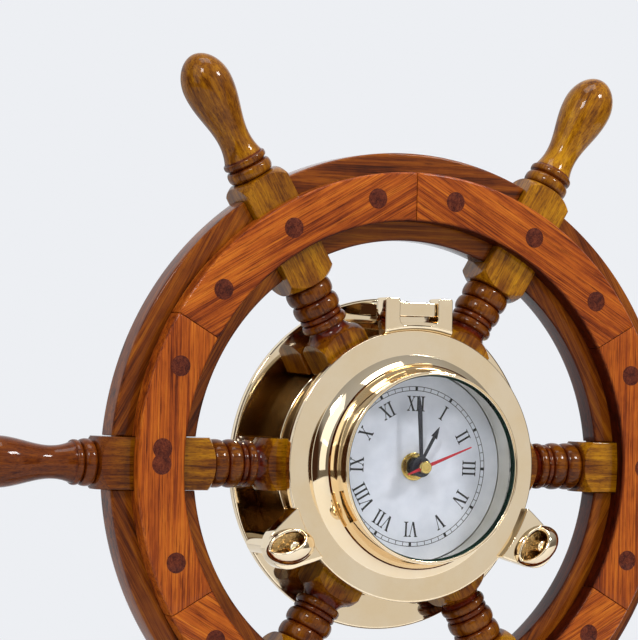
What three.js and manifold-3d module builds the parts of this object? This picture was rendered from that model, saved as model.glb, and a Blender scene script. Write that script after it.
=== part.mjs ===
// Ship's wheel wall clock: a six-spoke wooden wheel with a brass porthole clock at its hub.
// Millimetres. Drawn with x to the right, y up and z out from the wall, then turned so that up is +Z
// and the front faces -Y. The origin is on the hub axis, in the plane of the wall.
import * as THREE from 'three';
import { mergeVertices } from 'three/addons/utils/BufferGeometryUtils.js';
import Module from 'manifold-3d';

const wasm = await Module();
wasm.setup();

const { degToRad, radToDeg } = THREE.MathUtils;

// Clearances, and how far a cutting solid runs past the face that it cuts
const gap = 0.3;
const boreClearance = 0.3;
const socketClearance = 0.7;
const overcut = 1;

// Wooden rim: felloes between the spokes, and facings over them front and rear
const spokeCount = 6;
const felloeWidth = 43.6;
const felloeThickness = 16;
const facingInset = 9.4;
const facingWidth = 24.3;
const facingThickness = 10.5;
const plugRadius = 5;
const plugProud = 0.4;
const plugFromJoint = 21.5;

// Spokes: square blocks at the hub and rim, turned beads between them and a turned handle outside
const blockSide = 25.4;
const hubBlockLength = 17;
const beadedLength = 28;
const blockOverhangInside = 9;
const blockOverhangOutside = 6.3;
const shoulderLength = 2.4;
const shoulderStep = 0.6;
const beadCount = 4;
const beadRadius = 11.8;
const beadFlank = 0.28;
const grooveRadius = 8.6;
const collarCount = 2;
const collarWidth = 7.2;
const collarRadius = 12.2;
const neckRadius = 8.2;
const neckFromCollar = 6;
const handleRadius = 12.5;
const handleLength = 52.7;
const bulbFromTip = 15;
const crownFromTip = 6.5;
const crownRadius = 11;
const tipFlatRadius = 7;
const tipRounding = 2.5;

// Keyhole hanger let into the back of the rim at the top
const hangerWidth = 46;
const hangerMargin = 1;
const hangerThickness = 1.6;
const keyholeRadius = 4.5;
const keyholeDrop = 3;
const keySlotRadius = 2.3;
const keySlotRise = 4.5;
const nailPocketRadius = 6.6;
const nailPocketDepth = 7;

// Porthole body: mounting plate, barrel, hinge post and two clamp posts
const plateMargin = 4.5;
const plateThickness = 4;
const plateEdgeRound = 1.4;
const barrelWall = 4;
const barrelReach = 2.8;
const ledgeWidth = 4.5;
const ledgeHeight = 3;
const ledgeDepth = 4.6;
const clampOffset = 11.4;
const clampPostWall = 1.8;
const socketRoom = 0.7;

// Porthole lid: flange, curved collar, two hinge ears and two clamp lugs
const lidThickness = 5;
const flangeWidth = 12.1;
const collarSpread = 7.6;
const collarCurve = 5;
const glassThickness = 2.6;
const glassInset = 0.6;
const glassLap = 0.8;
const seatThickness = 1.2;
const glassRoom = 3.8;
const lipWidth = 1;
const lugProud = 3.4;
const lugHalfWidth = 14;
const lugEndRadius = 11;
const lugRoot = 0.6;

// Lid hinge
const hingeRise = 10.3;
const earTopRise = 5.6;
const earDepth = 11;
const earWidth = 8;
const earSlotWidth = 21;
const earSlotDrop = 7.9;
const knuckleSideGap = 2;
const knuckleHeight = 7;
const pinRadius = 2;

// Clamp screws with oval cup nuts
const studRadius = 2.9;
const studEngagement = 5;
const studProud = 8.7;
const nutLength = 25.4;
const nutWidth = 17.8;
const nutHeight = 11.6;
const nutWall = 2;
const nutFloor = 2.8;
const nutMouthHeight = 10.5;
const nutScoop = degToRad(60);
const nutMouthAngle = degToRad(111);
const nutAngles = { left: degToRad(11), right: degToRad(39) };

// Dial and its carrier
const dialThickness = 0.8;
const dialProud = 0.4;
const windowMargin = 0.9;
const dialLap = 1.9;
const dialClearance = 0.9;
const dialRoom = 1.5;
const carrierThickness = 2;
const carrierRimWidth = 8.9;
const caseClearance = 1.8;

// Hands at about 12:59:11
const hourHandAngle = degToRad(29.3);
const minuteHandAngle = degToRad(-3.2);
const secondHandAngle = degToRad(68.5);
const handThickness = 0.6;
const handSpacing = 2.6;
const hourHandLift = 2;
const hourHandLength = 22.7;
const hourHandWidth = 3.6;
const hourHandHead = 5.8;
const hourHandBarb = 0.3;
const hourStemWidth = 1.6;
const hourHubRadius = 4.6;
const minuteHandLength = 35;
const minuteHandWidth = 2.4;
const minuteHandBelly = 27.5;
const minuteStemWidth = 1.7;
const minuteHubRadius = 5;
const secondHandLength = 27.6;
const secondHandTail = 9.8;
const secondHandWidth = 1.7;
const secondTipWidth = 0.6;
const secondHubRadius = 3;
const secondCapHeight = 1.8;

// Quartz movement with one AA cell
const caseTop = 27.5;
const caseWall = 1.2;
const bushingRadius = 4;
const bushingProud = 3.6;
const cellRadius = 7.2;
const cellLength = 49;
const cellNubRadius = 2.7;
const cellNubLength = 1.2;
const contactThickness = 0.5;
const contactWidth = 9;
const contactInset = 0.9;
const washerRadius = 6.9;
const washerThickness = 0.8;
const hexNutRadius = 6.1;
const hexNutThickness = 2;
const boardThickness = 1;
const boardWidth = 26;
const boardHeight = 10.5;
const boardLift = 2;
const boardInset = 5;
const boardDrop = 2.2;
const coreInset = 2.2;
const coilInset = 2.2;
const coilLength = 20;
const coilRadius = 3.2;
const coilBoreRadius = 1.7;
const statorThickness = 1.5;
const statorBarWidth = 2;
const statorClearance = 0.86;
const rotorAirGap = 0.8;
const magnetRadius = 3.2;
const magnetThickness = 2.5;
const knobRadius = 4.5;
const knobThickness = 4;

// Gear train: rotor, intermediate, second, third and centre wheels, then the motion work to the hour hand
const wheelThickness = 0.8;
const pinionLength = 1.8;
const layerGap = 0.35;
const wheelRoom = 1.35;
const trainDistance = 11.2;
const rotorDistance = 7.56;
const motionDistance = 6.4;
const addendum = 0.7;
const dedendum = 1;
const arborRadius = 0.5;
const minuteTubeRadius = 1.2;
const hourTubeRadius = 2.1;
const settingArborRadius = 0.9;
const thirdDirection = degToRad(165);
const intermediateDirection = degToRad(50);
const rotorDirection = degToRad(30);
const motionDirection = degToRad(300);
const settingDirection = degToRad(350);
const teeth = {
  pinion: 6, intermediate: 36, second: 30, third: 45, centre: 48,
  cannon: 8, motion: 24, hour: 24, setting: 12,
};

// Gear modules, from the arbor distances
const secondModule = (2 * trainDistance) / (teeth.pinion + teeth.second);
const thirdModule = (2 * trainDistance) / (teeth.pinion + teeth.third);
const centreModule = (2 * trainDistance) / (teeth.pinion + teeth.centre);
const rotorModule = (2 * rotorDistance) / (teeth.pinion + teeth.intermediate);
const motionModule = (2 * motionDistance) / (teeth.cannon + teeth.motion);
const hourModule = (2 * motionDistance) / (teeth.pinion + teeth.hour);

// Movement case, from the gears and the cell that it holds
const centreTipRadius = centreModule * (teeth.centre / 2 + addendum);
const cellWallTop = -(centreTipRadius + wheelRoom);
const cellHeight = cellWallTop - caseWall - gap - cellRadius;
const caseBottom = cellHeight - cellRadius - gap - caseWall;
const caseHalfWidth = cellLength / 2 + cellNubLength + contactThickness + 2 * gap + caseWall;
const wheelStep = pinionLength + layerGap;
const caseDepth = 2 * caseWall + 5 * wheelStep + pinionLength + 3 * layerGap;

// Radii, from the movement outwards
const skirtBore = Math.hypot(caseHalfWidth, Math.max(caseTop, -caseBottom)) + caseClearance;
const skirtRadius = skirtBore + carrierThickness;
const windowRadius = skirtRadius + gap + windowMargin;
const dialRadius = windowRadius + dialLap;
const lidBoreRadius = dialRadius + dialClearance;
const glassRadius = windowRadius + glassLap;
const glassSeatRadius = glassRadius + gap;
const lipRadius = glassSeatRadius + lipWidth;
const collarBaseRadius = lipRadius + collarSpread;
const lidRadius = collarBaseRadius + flangeWidth;
const clampCircleRadius = lidRadius + clampOffset;
const plateRadius = clampCircleRadius + plateMargin;
const clampPostRadius = studRadius + socketClearance + clampPostWall;
const barrelBore = skirtRadius + carrierRimWidth;
const barrelRadius = barrelBore + barrelWall;
const hubBlockStart = barrelRadius + 2 * gap;
const hubBlockEnd = hubBlockStart + hubBlockLength;
const rimBlockStart = hubBlockEnd + beadedLength;
const felloeInnerRadius = rimBlockStart + blockOverhangInside;
const felloeOuterRadius = felloeInnerRadius + felloeWidth;
const rimBlockEnd = felloeOuterRadius + blockOverhangOutside;
const facingInnerRadius = felloeInnerRadius + facingInset;
const facingOuterRadius = facingInnerRadius + facingWidth;
const facingMidRadius = facingInnerRadius + facingWidth / 2;

// Levels, measured out from the wall
const felloeRear = facingThickness + gap;
const felloeFront = felloeRear + felloeThickness;
const facingRear = felloeFront + gap;
const facingFront = facingRear + facingThickness;
const spokeLevel = felloeRear + felloeThickness / 2;
const blockFront = spokeLevel + blockSide / 2;
const blockRear = spokeLevel - blockSide / 2;
const plateFront = blockRear - gap;
const plateRear = plateFront - plateThickness;
const barrelFront = blockFront + barrelReach;
const lidRear = barrelFront + gap;
const lidFront = lidRear + lidThickness;
const raisedFront = lidFront + lugProud;
const hingeLevel = raisedFront - earDepth / 2;
const hingeHeight = lidRadius + hingeRise;
const ledgeFront = barrelFront - ledgeDepth;
const dialFront = lidFront + dialProud;
const dialRear = dialFront - dialThickness;
const carrierFront = dialRear - gap;
const carrierRear = carrierFront - carrierThickness;
const caseFront = carrierRear - gap;
const caseRear = caseFront - caseDepth;
const coverFront = caseRear + caseWall;
const roomFront = caseFront - caseWall;
const washerRear = dialFront + gap;
const hexNutRear = washerRear + washerThickness + gap;
const bushingFront = dialFront + bushingProud;
const hourHandRear = bushingFront + hourHandLift;
const minuteHandRear = hourHandRear + handThickness + handSpacing;
const secondHandRear = minuteHandRear + handThickness + handSpacing;
const secondCapFront = secondHandRear + handThickness + secondCapHeight;
const glassRear = secondCapFront + glassRoom;
const glassFront = glassRear + glassThickness;
const collarFront = glassFront + glassInset;
const coreLevel = roomFront - gap - coilRadius;

// Angles round the hub: the hinge is at the top, midway between two spokes, and so is each clamp in its place
const spokeStep = (2 * Math.PI) / spokeCount;
const topAngle = Math.PI / 2;
const clampTurn = Math.round(spokeCount / 3) * spokeStep;
const clampAngles = { left: topAngle + clampTurn, right: topAngle - clampTurn };

// Sides of round pieces
const arcSteps = 6;
const arborSides = 8;
const turnedSides = 10;
const roundSides = 12;
const fineSides = 20;
const hiddenSides = 24;
const ringSides = 40;

// Turns a closed geometry into a solid that can be joined and cut.
function toSolid(geometry) {
  const bare = geometry.clone();
  for (const name of Object.keys(bare.attributes)) {
    if (name !== 'position') bare.deleteAttribute(name);
  }
  const merged = mergeVertices(bare, 1e-4);
  const corners = merged.index.array;
  const kept = [];
  for (let i = 0; i < corners.length; i += 3) {
    const [a, b, c] = [corners[i], corners[i + 1], corners[i + 2]];
    if (a !== b && b !== c && c !== a) kept.push(a, b, c);
  }
  const vertProperties = new Float32Array(merged.attributes.position.array);
  return new wasm.Manifold(new wasm.Mesh({ numProp: 3, vertProperties, triVerts: new Uint32Array(kept) }));
}

function toGeometry(solid) {
  const mesh = solid.getMesh();
  const geometry = new THREE.BufferGeometry();
  geometry.setAttribute('position', new THREE.BufferAttribute(mesh.vertProperties.slice(), 3));
  geometry.setIndex(new THREE.BufferAttribute(mesh.triVerts.slice(), 1));
  return geometry;
}

// A flat outline extruded from one level to another.
function slab(shape, fromLevel, toLevel) {
  const options = { depth: toLevel - fromLevel, bevelEnabled: false, curveSegments: arcSteps };
  return toSolid(new THREE.ExtrudeGeometry(shape, options).translate(0, 0, fromLevel));
}

function box(x0, x1, y0, y1, z0, z1) {
  const geometry = new THREE.BoxGeometry(x1 - x0, y1 - y0, z1 - z0);
  return toSolid(geometry.translate((x0 + x1) / 2, (y0 + y1) / 2, (z0 + z1) / 2));
}

// A round bar along z, about the point (x, y).
function rod(radius, fromLevel, toLevel, [x, y] = [0, 0], sides = roundSides) {
  const geometry = new THREE.CylinderGeometry(radius, radius, toLevel - fromLevel, sides);
  return toSolid(geometry.rotateX(Math.PI / 2).translate(x, y, (fromLevel + toLevel) / 2));
}

// A round bar along x.
function crossRod(radius, x0, x1, y, z, sides = roundSides) {
  const geometry = new THREE.CylinderGeometry(radius, radius, x1 - x0, sides);
  return toSolid(geometry.rotateZ(Math.PI / 2).translate((x0 + x1) / 2, y, z));
}

// A closed ring turned about the z axis; its outline of [radius, level] points runs counter-clockwise.
function turnedRing(outline, sides = ringSides) {
  const points = [...outline, outline[0]].map(([radius, level]) => new THREE.Vector2(radius, level));
  return toSolid(new THREE.LatheGeometry(points, sides).rotateX(Math.PI / 2));
}

function ringPlate(innerRadius, outerRadius, fromLevel, toLevel, sides = ringSides) {
  return turnedRing([
    [innerRadius, fromLevel], [outerRadius, fromLevel], [outerRadius, toLevel], [innerRadius, toLevel],
  ], sides);
}

function polar(radius, angle) {
  return [radius * Math.cos(angle), radius * Math.sin(angle)];
}

function offset([x, y], [dx, dy]) {
  return [x + dx, y + dy];
}

const group = new THREE.Group();
group.rotation.x = Math.PI / 2;

function addPiece(name, solid, material, turn = 0) {
  const mesh = new THREE.Mesh(toGeometry(solid), material.clone());
  mesh.name = name;
  mesh.rotation.z = turn;
  group.add(mesh);
}

function finish(color, roughness, metalness) {
  return new THREE.MeshStandardMaterial({ color, roughness, metalness });
}

const rimWood = finish(0x6b3a1c, 0.35, 0);
const facingWood = finish(0x9a4a1e, 0.3, 0);
const spokeWood = finish(0x7d4a1f, 0.3, 0);
const brass = finish(0xd8b46a, 0.12, 1);
const steel = finish(0x9a9a9c, 0.35, 1);
const clearGlass = finish(0xdfe9e4, 0.05, 0);
const dialSilver = finish(0xd9dadd, 0.45, 0.1);
const blackPaint = finish(0x0c0c0d, 0.4, 0);
const redPaint = finish(0xc4161c, 0.4, 0);
const blackPlastic = finish(0x1b1b1d, 0.5, 0);
const whitePlastic = finish(0xe8e6df, 0.5, 0);
const copper = finish(0xb0672f, 0.4, 0.6);
const boardGreen = finish(0x2f5a35, 0.6, 0);
const cellWrap = finish(0x3b3d42, 0.35, 0.2);

// One share of the rim, centred on +x. Its ends are parallel to the joint lines and set back by setBack.
function rimSector(innerRadius, outerRadius, setBack) {
  const outerEnd = spokeStep / 2 - Math.asin(setBack / outerRadius);
  const innerEnd = spokeStep / 2 - Math.asin(setBack / innerRadius);
  const shape = new THREE.Shape();
  shape.absarc(0, 0, outerRadius, -outerEnd, outerEnd, false);
  shape.absarc(0, 0, innerRadius, innerEnd, -innerEnd, true);
  shape.closePath();
  return shape;
}

// Notch that lets a facing sit over the spoke's square block.
function blockNotch(fromLevel, toLevel) {
  const half = blockSide / 2 + gap;
  return box(facingInnerRadius - overcut, facingOuterRadius + overcut, -half, half, fromLevel, toLevel);
}

function felloe() {
  return slab(rimSector(felloeInnerRadius, felloeOuterRadius, blockSide / 2 + gap), felloeRear, felloeFront);
}

// A facing segment with the plugs that cover its screws: one over the spoke and one near each joint.
function frontFacing() {
  const sector = slab(rimSector(facingInnerRadius, facingOuterRadius, gap / 2), facingRear, facingFront);
  let body = sector.subtract(blockNotch(facingRear - overcut, blockFront + gap));
  const plugTurn = spokeStep / 2 - Math.asin(plugFromJoint / facingMidRadius);
  for (const turn of [-plugTurn, 0, plugTurn]) {
    const plugRoot = facingFront - facingThickness / 4;
    body = body.add(rod(plugRadius, plugRoot, facingFront + plugProud, polar(facingMidRadius, turn)));
  }
  return body;
}

const hangerHalfHeight = Math.max(keyholeDrop + keyholeRadius, keySlotRise + keySlotRadius) + hangerMargin;

// A rear segment. The two upper ones share the pocket of the hanger, which spans the joint at the top.
function rearFacing(angle) {
  const sector = slab(rimSector(facingInnerRadius, facingOuterRadius, gap / 2), 0, facingThickness);
  const body = sector.subtract(blockNotch(blockRear - gap, facingThickness + overcut));
  const half = hangerWidth / 2 + gap;
  const rise = hangerHalfHeight + gap;
  const depth = hangerThickness + 2 * gap;
  const recess = box(-half, half, facingMidRadius - rise, facingMidRadius + rise, -overcut, depth);
  const nailRoom = rod(nailPocketRadius, -overcut, nailPocketDepth, [0, facingMidRadius]);
  return body.subtract(recess.add(nailRoom).rotate([0, 0, -radToDeg(angle)]));
}

// Keyhole plate: a round entry hole with a narrower slot above it.
function hangerPlate() {
  const front = gap + hangerThickness;
  const plate = box(-hangerWidth / 2, hangerWidth / 2, facingMidRadius - hangerHalfHeight,
    facingMidRadius + hangerHalfHeight, gap, front);
  const low = facingMidRadius - keyholeDrop;
  const high = facingMidRadius + keySlotRise;
  const entry = rod(keyholeRadius, gap - overcut, front + overcut, [0, low]);
  const slot = box(-keySlotRadius, keySlotRadius, low, high, gap - overcut, front + overcut);
  const slotEnd = rod(keySlotRadius, gap - overcut, front + overcut, [0, high]);
  return plate.subtract(entry.add(slot).add(slotEnd));
}

// Turned profile of one spoke as [distance from the hub axis, radius], wider than the stock at its blocks.
function spokeProfile() {
  const wide = blockSide;
  const shoulderRadius = blockSide / 2 + shoulderStep;
  const points = [[hubBlockStart, 0], [hubBlockStart, wide]];
  const shoulderDown = (at) => points.push(
    [at - shoulderLength, wide], [at - shoulderLength / 3, shoulderRadius], [at, grooveRadius]);
  const shoulderUp = (at) => points.push(
    [at, grooveRadius], [at + shoulderLength / 3, shoulderRadius], [at + shoulderLength, wide]);
  const bead = (from, width, radius) => points.push(
    [from + width * beadFlank, radius], [from + width * (1 - beadFlank), radius]);
  shoulderDown(hubBlockEnd);
  const beadWidth = beadedLength / beadCount;
  for (let i = 0; i < beadCount; i += 1) {
    if (i > 0) points.push([hubBlockEnd + i * beadWidth, grooveRadius]);
    bead(hubBlockEnd + i * beadWidth, beadWidth, beadRadius);
  }
  shoulderUp(rimBlockStart);
  shoulderDown(rimBlockEnd);
  for (let i = 0; i < collarCount; i += 1) {
    bead(rimBlockEnd + i * collarWidth, collarWidth, collarRadius);
    points.push([rimBlockEnd + (i + 1) * collarWidth, grooveRadius]);
  }
  const handleStart = rimBlockEnd + collarCount * collarWidth;
  const tip = handleStart + handleLength;
  const neck = handleStart + neckFromCollar;
  const bulb = tip - bulbFromTip;
  const swellSteps = 4;
  for (let i = 0; i <= swellSteps; i += 1) {
    const share = i / swellSteps;
    const swell = (1 - Math.cos(Math.PI * share)) / 2;
    points.push([neck + (bulb - neck) * share, neckRadius + (handleRadius - neckRadius) * swell]);
  }
  points.push([tip - crownFromTip, crownRadius], [tip - tipRounding, tipFlatRadius], [tip, 0]);
  return points;
}

// The turned profile cut out of square stock, so that the blocks keep their flats and curved shoulders.
function spoke() {
  const profile = spokeProfile();
  const points = profile.map(([distance, radius]) => new THREE.Vector2(radius, distance));
  const lathe = new THREE.LatheGeometry(points, turnedSides).rotateZ(-Math.PI / 2);
  const half = blockSide / 2;
  const stock = box(0, profile.at(-1)[0] + overcut, -half, half, -half, half);
  return toSolid(lathe).intersect(stock).translate([0, 0, spokeLevel]);
}

// Spokes and rim pieces, numbered clockwise from the top as seen from the front.
function addWheel() {
  const spokeSolid = spoke();
  const felloeSolid = felloe();
  const facingSolid = frontFacing();
  for (let i = 0; i < spokeCount; i += 1) {
    const felloeAngle = topAngle - i * spokeStep;
    const spokeAngle = felloeAngle - spokeStep / 2;
    addPiece(`spoke_${i + 1}`, spokeSolid, spokeWood, spokeAngle);
    addPiece(`felloe_${i + 1}`, felloeSolid, rimWood, felloeAngle);
    addPiece(`front_facing_${i + 1}`, facingSolid, facingWood, spokeAngle);
    addPiece(`rear_facing_${i + 1}`, rearFacing(spokeAngle), facingWood, spokeAngle);
  }
  addPiece('hanger_plate', hangerPlate(), steel);
}

// Tube through the plate.
function portholeBarrel() {
  return turnedRing([
    [barrelBore, plateRear], [barrelRadius, plateRear], [barrelRadius, barrelFront], [barrelBore, barrelFront],
  ]);
}

// Ring fixed in the barrel, which the dial carrier rests on.
function barrelLedge() {
  const inner = barrelBore - ledgeWidth;
  const outer = barrelBore - gap;
  const rear = ledgeFront - ledgeHeight;
  return turnedRing([[inner, rear], [outer, rear], [outer, ledgeFront], [inner, ledgeFront]]);
}

// Cast body: a plate round the barrel, with the hinge post and clamp posts standing on it.
function portholeBody() {
  const edge = plateRadius - plateEdgeRound;
  const bore = barrelRadius + gap;
  let body = turnedRing([
    [bore, plateRear], [edge, plateRear], [plateRadius, plateRear + plateEdgeRound],
    [plateRadius, plateFront - plateEdgeRound], [edge, plateFront], [bore, plateFront],
  ]);
  const postRoot = plateFront - plateThickness / 2;
  const knuckleHalf = earSlotWidth / 2 - knuckleSideGap;
  const knuckleRise = knuckleHeight / 2;
  const hingePost = box(-knuckleHalf, knuckleHalf, hingeHeight - knuckleRise, hingeHeight + knuckleRise,
    postRoot, hingeLevel + knuckleRise);
  const pinBore = crossRod(pinRadius + boreClearance, -earSlotWidth, earSlotWidth, hingeHeight, hingeLevel);
  body = body.add(hingePost.subtract(pinBore));
  const postTop = lidRear - gap;
  const socketFloor = lidRear - studEngagement - socketRoom;
  for (const angle of Object.values(clampAngles)) {
    const place = polar(clampCircleRadius, angle);
    const socket = rod(studRadius + socketClearance, socketFloor, postTop + overcut, place);
    body = body.add(rod(clampPostRadius, postRoot, postTop, place, fineSides).subtract(socket));
  }
  return body;
}

// Flange with the collar that rises from it in a hollow sweep, ever steeper up to the lip round the glass. Inside, the
// bore clears the dial and draws in from there to the glass's seat.
function lidFlange() {
  const slopeSteps = 8;
  const slope = [];
  for (let i = 0; i <= slopeSteps; i += 1) {
    const rise = (i / slopeSteps) ** 2;
    slope.push([lipRadius + collarSpread * (1 - rise) ** collarCurve, lidFront + (collarFront - lidFront) * rise]);
  }
  const seat = glassRear - gap;
  return turnedRing([
    [lidBoreRadius, lidRear], [lidRadius, lidRear], [lidRadius, lidFront], ...slope,
    [glassSeatRadius, collarFront], [glassSeatRadius, seat], [windowRadius, seat],
    [windowRadius, seat - seatThickness], [lidBoreRadius, dialFront + dialRoom],
  ]);
}

// Raised tongue that carries a clamp screw, drawn along +x and turned to its place.
function clampLug(angle) {
  const shape = new THREE.Shape();
  shape.moveTo(0, -lugHalfWidth);
  shape.lineTo(lidRadius, -lugHalfWidth);
  shape.absarc(clampCircleRadius, 0, lugEndRadius, -Math.PI / 2, Math.PI / 2, false);
  shape.lineTo(lidRadius, lugHalfWidth);
  shape.lineTo(0, lugHalfWidth);
  shape.closePath();
  const place = [clampCircleRadius, 0];
  const hole = rod(studRadius + boreClearance, lidRear - overcut, raisedFront + overcut, place);
  return slab(shape, lidRear, raisedFront).subtract(hole).rotate([0, 0, radToDeg(angle)]);
}

function hingeEars() {
  const half = earSlotWidth / 2;
  const outer = half + earWidth;
  const rear = raisedFront - earDepth;
  const top = hingeHeight + earTopRise;
  const slot = box(-half, half, hingeHeight - earSlotDrop, top + overcut, rear - overcut,
    raisedFront + overcut);
  const reach = outer + overcut;
  const pinBore = crossRod(pinRadius + boreClearance, -reach, reach, hingeHeight, hingeLevel);
  return box(-outer, outer, 0, top, rear, raisedFront).subtract(slot).subtract(pinBore);
}

function lid() {
  const raised = hingeEars().add(clampLug(clampAngles.left)).add(clampLug(clampAngles.right));
  const insideFlange = rod(lidRadius - lugRoot, 0, collarFront, [0, 0], ringSides);
  return lidFlange().add(raised.subtract(insideFlange));
}

// Oval cup nut on the z axis, long along x: half an ellipsoid hollowed down to its floor, with a mouth cut aslant.
function cupNut() {
  const base = raisedFront + gap;
  const reach = nutLength + nutHeight;
  const dome = (inset, floor) => {
    const geometry = new THREE.SphereGeometry(1, fineSides, fineSides / 2).rotateX(Math.PI / 2);
    geometry.scale(nutLength / 2 - inset, nutWidth / 2 - inset, nutHeight - inset).translate(0, 0, base);
    return toSolid(geometry).subtract(box(-reach, reach, -reach, reach, base - reach, base + floor));
  };
  const mouth = box(-reach, reach, -reach, reach, 0, reach).rotate([-radToDeg(nutScoop), 0, 0])
    .rotate([0, 0, radToDeg(nutMouthAngle) - 90]).translate([0, 0, base + nutMouthHeight]);
  const bore = rod(studRadius + boreClearance, base - overcut, base + nutFloor + overcut);
  return dome(0, 0).subtract(dome(nutWall, nutFloor)).subtract(mouth).subtract(bore);
}

function addPorthole() {
  addPiece('porthole_body', portholeBody(), brass);
  addPiece('porthole_barrel', portholeBarrel(), brass);
  addPiece('barrel_ledge', barrelLedge(), brass);
  addPiece('porthole_lid', lid(), brass);
  addPiece('window_glass', rod(glassRadius, glassRear, glassFront, [0, 0], ringSides), clearGlass);
  const earOuter = earSlotWidth / 2 + earWidth;
  addPiece('hinge_pin', crossRod(pinRadius, -earOuter, earOuter, hingeHeight, hingeLevel), brass);
  for (const side of Object.keys(clampAngles)) {
    const place = polar(clampCircleRadius, clampAngles[side]);
    const stud = rod(studRadius, lidRear - studEngagement, raisedFront + studProud, place);
    addPiece(`clamp_stud_${side}`, stud, brass);
    const nut = cupNut().rotate([0, 0, radToDeg(nutAngles[side])]).translate([...place, 0]);
    addPiece(`cup_nut_${side}`, nut, brass);
  }
}

// Disc with a skirt and an outer rim that rests on the ledge in the barrel; it carries the dial and movement.
function dialCarrier() {
  const rimRadius = barrelBore - gap;
  const rimRear = ledgeFront + gap;
  const rimFront = rimRear + carrierThickness;
  const bushingHole = bushingRadius + boreClearance;
  return turnedRing([
    [bushingHole, carrierRear], [skirtBore, carrierRear], [skirtBore, rimRear], [rimRadius, rimRear],
    [rimRadius, rimFront], [skirtRadius, rimFront], [skirtRadius, carrierFront], [bushingHole, carrierFront],
  ], hiddenSides);
}

function addDial() {
  const bushingHole = bushingRadius + boreClearance;
  const hexSides = 6;
  const hexNutFront = hexNutRear + hexNutThickness;
  addPiece('dial_carrier', dialCarrier(), whitePlastic);
  addPiece('dial', ringPlate(bushingHole, dialRadius, dialRear, dialFront), dialSilver);
  const washer = ringPlate(bushingHole, washerRadius, washerRear, washerRear + washerThickness, fineSides);
  addPiece('fixing_washer', washer, brass);
  const nutBore = rod(bushingHole, hexNutRear - overcut, hexNutFront + overcut);
  const hexNut = rod(hexNutRadius, hexNutRear, hexNutFront, [0, 0], hexSides).subtract(nutBore);
  addPiece('fixing_nut', hexNut, brass);
}

// Places of the arbors, from the centre of the dial
const dialCentre = [0, 0];
const thirdPlace = polar(trainDistance, thirdDirection);
const intermediatePlace = polar(trainDistance, intermediateDirection);
const rotorPlace = offset(intermediatePlace, polar(rotorDistance, rotorDirection));
const motionPlace = polar(motionDistance, motionDirection);
const settingDistance = (motionModule * (teeth.motion + teeth.setting)) / 2;
const settingPlace = offset(motionPlace, polar(settingDistance, settingDirection));

// Rear faces of the wheels, from the back cover forwards; each pinion is centred on the wheel that it meets
const intermediateLevel = coverFront + layerGap + (pinionLength - wheelThickness) / 2;
const secondLevel = intermediateLevel + wheelStep;
const thirdLevel = secondLevel + wheelStep;
const centreLevel = thirdLevel + wheelStep;
const motionLevel = centreLevel + wheelStep;
const hourLevel = motionLevel + wheelStep;
const rearPivot = caseRear + gap;
const frontPivot = caseFront - gap;

// Zigzag tooth outline with a tooth tip at the phase angle.
function gearShape(count, module, phase) {
  const pitchRadius = (count * module) / 2;
  const points = [];
  for (let i = 0; i < count; i += 1) {
    const tipAngle = phase + (2 * Math.PI * i) / count;
    points.push(new THREE.Vector2(...polar(pitchRadius + addendum * module, tipAngle)));
    points.push(new THREE.Vector2(...polar(pitchRadius - dedendum * module, tipAngle + Math.PI / count)));
  }
  return new THREE.Shape(points);
}

function gearWheel(count, module, phase, level) {
  return slab(gearShape(count, module, phase), level, level + wheelThickness);
}

function pinion(count, module, phase, meetingLevel) {
  const from = meetingLevel + (wheelThickness - pinionLength) / 2;
  return slab(gearShape(count, module, phase), from, from + pinionLength);
}

// Phase of a gear that meshes with a driver whose own phase is known; direction points from driver to gear.
function meshPhase(driverTeeth, driverPhase, direction, count) {
  const share = (driverTeeth * (direction - driverPhase)) / (2 * Math.PI);
  return direction + Math.PI - ((2 * Math.PI) / count) * (0.5 - share);
}

function arbor(from, to) {
  return rod(arborRadius, from, to, dialCentre, arborSides);
}

function addGear(name, solid, [x, y], material) {
  addPiece(name, solid.translate([x, y, 0]), material);
}

// From the rotor to the second wheel.
function addFastTrain() {
  const rotorPhase = meshPhase(teeth.intermediate, 0, rotorDirection, teeth.pinion);
  const magnetRear = coreLevel - magnetThickness / 2;
  const rotor = pinion(teeth.pinion, rotorModule, rotorPhase, intermediateLevel)
    .add(arbor(rearPivot, frontPivot))
    .add(rod(magnetRadius, magnetRear, magnetRear + magnetThickness));
  addGear('rotor', rotor, rotorPlace, steel);

  const intermediatePhase = meshPhase(teeth.second, 0, intermediateDirection, teeth.pinion);
  const intermediate = gearWheel(teeth.intermediate, rotorModule, 0, intermediateLevel)
    .add(pinion(teeth.pinion, secondModule, intermediatePhase, secondLevel))
    .add(arbor(rearPivot, frontPivot));
  addGear('intermediate_wheel', intermediate, intermediatePlace, whitePlastic);

  const second = gearWheel(teeth.second, secondModule, 0, secondLevel)
    .add(pinion(teeth.pinion, thirdModule, 0, thirdLevel))
    .add(arbor(rearPivot, secondHandRear + handThickness));
  addGear('second_wheel', second, dialCentre, whitePlastic);
}

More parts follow.
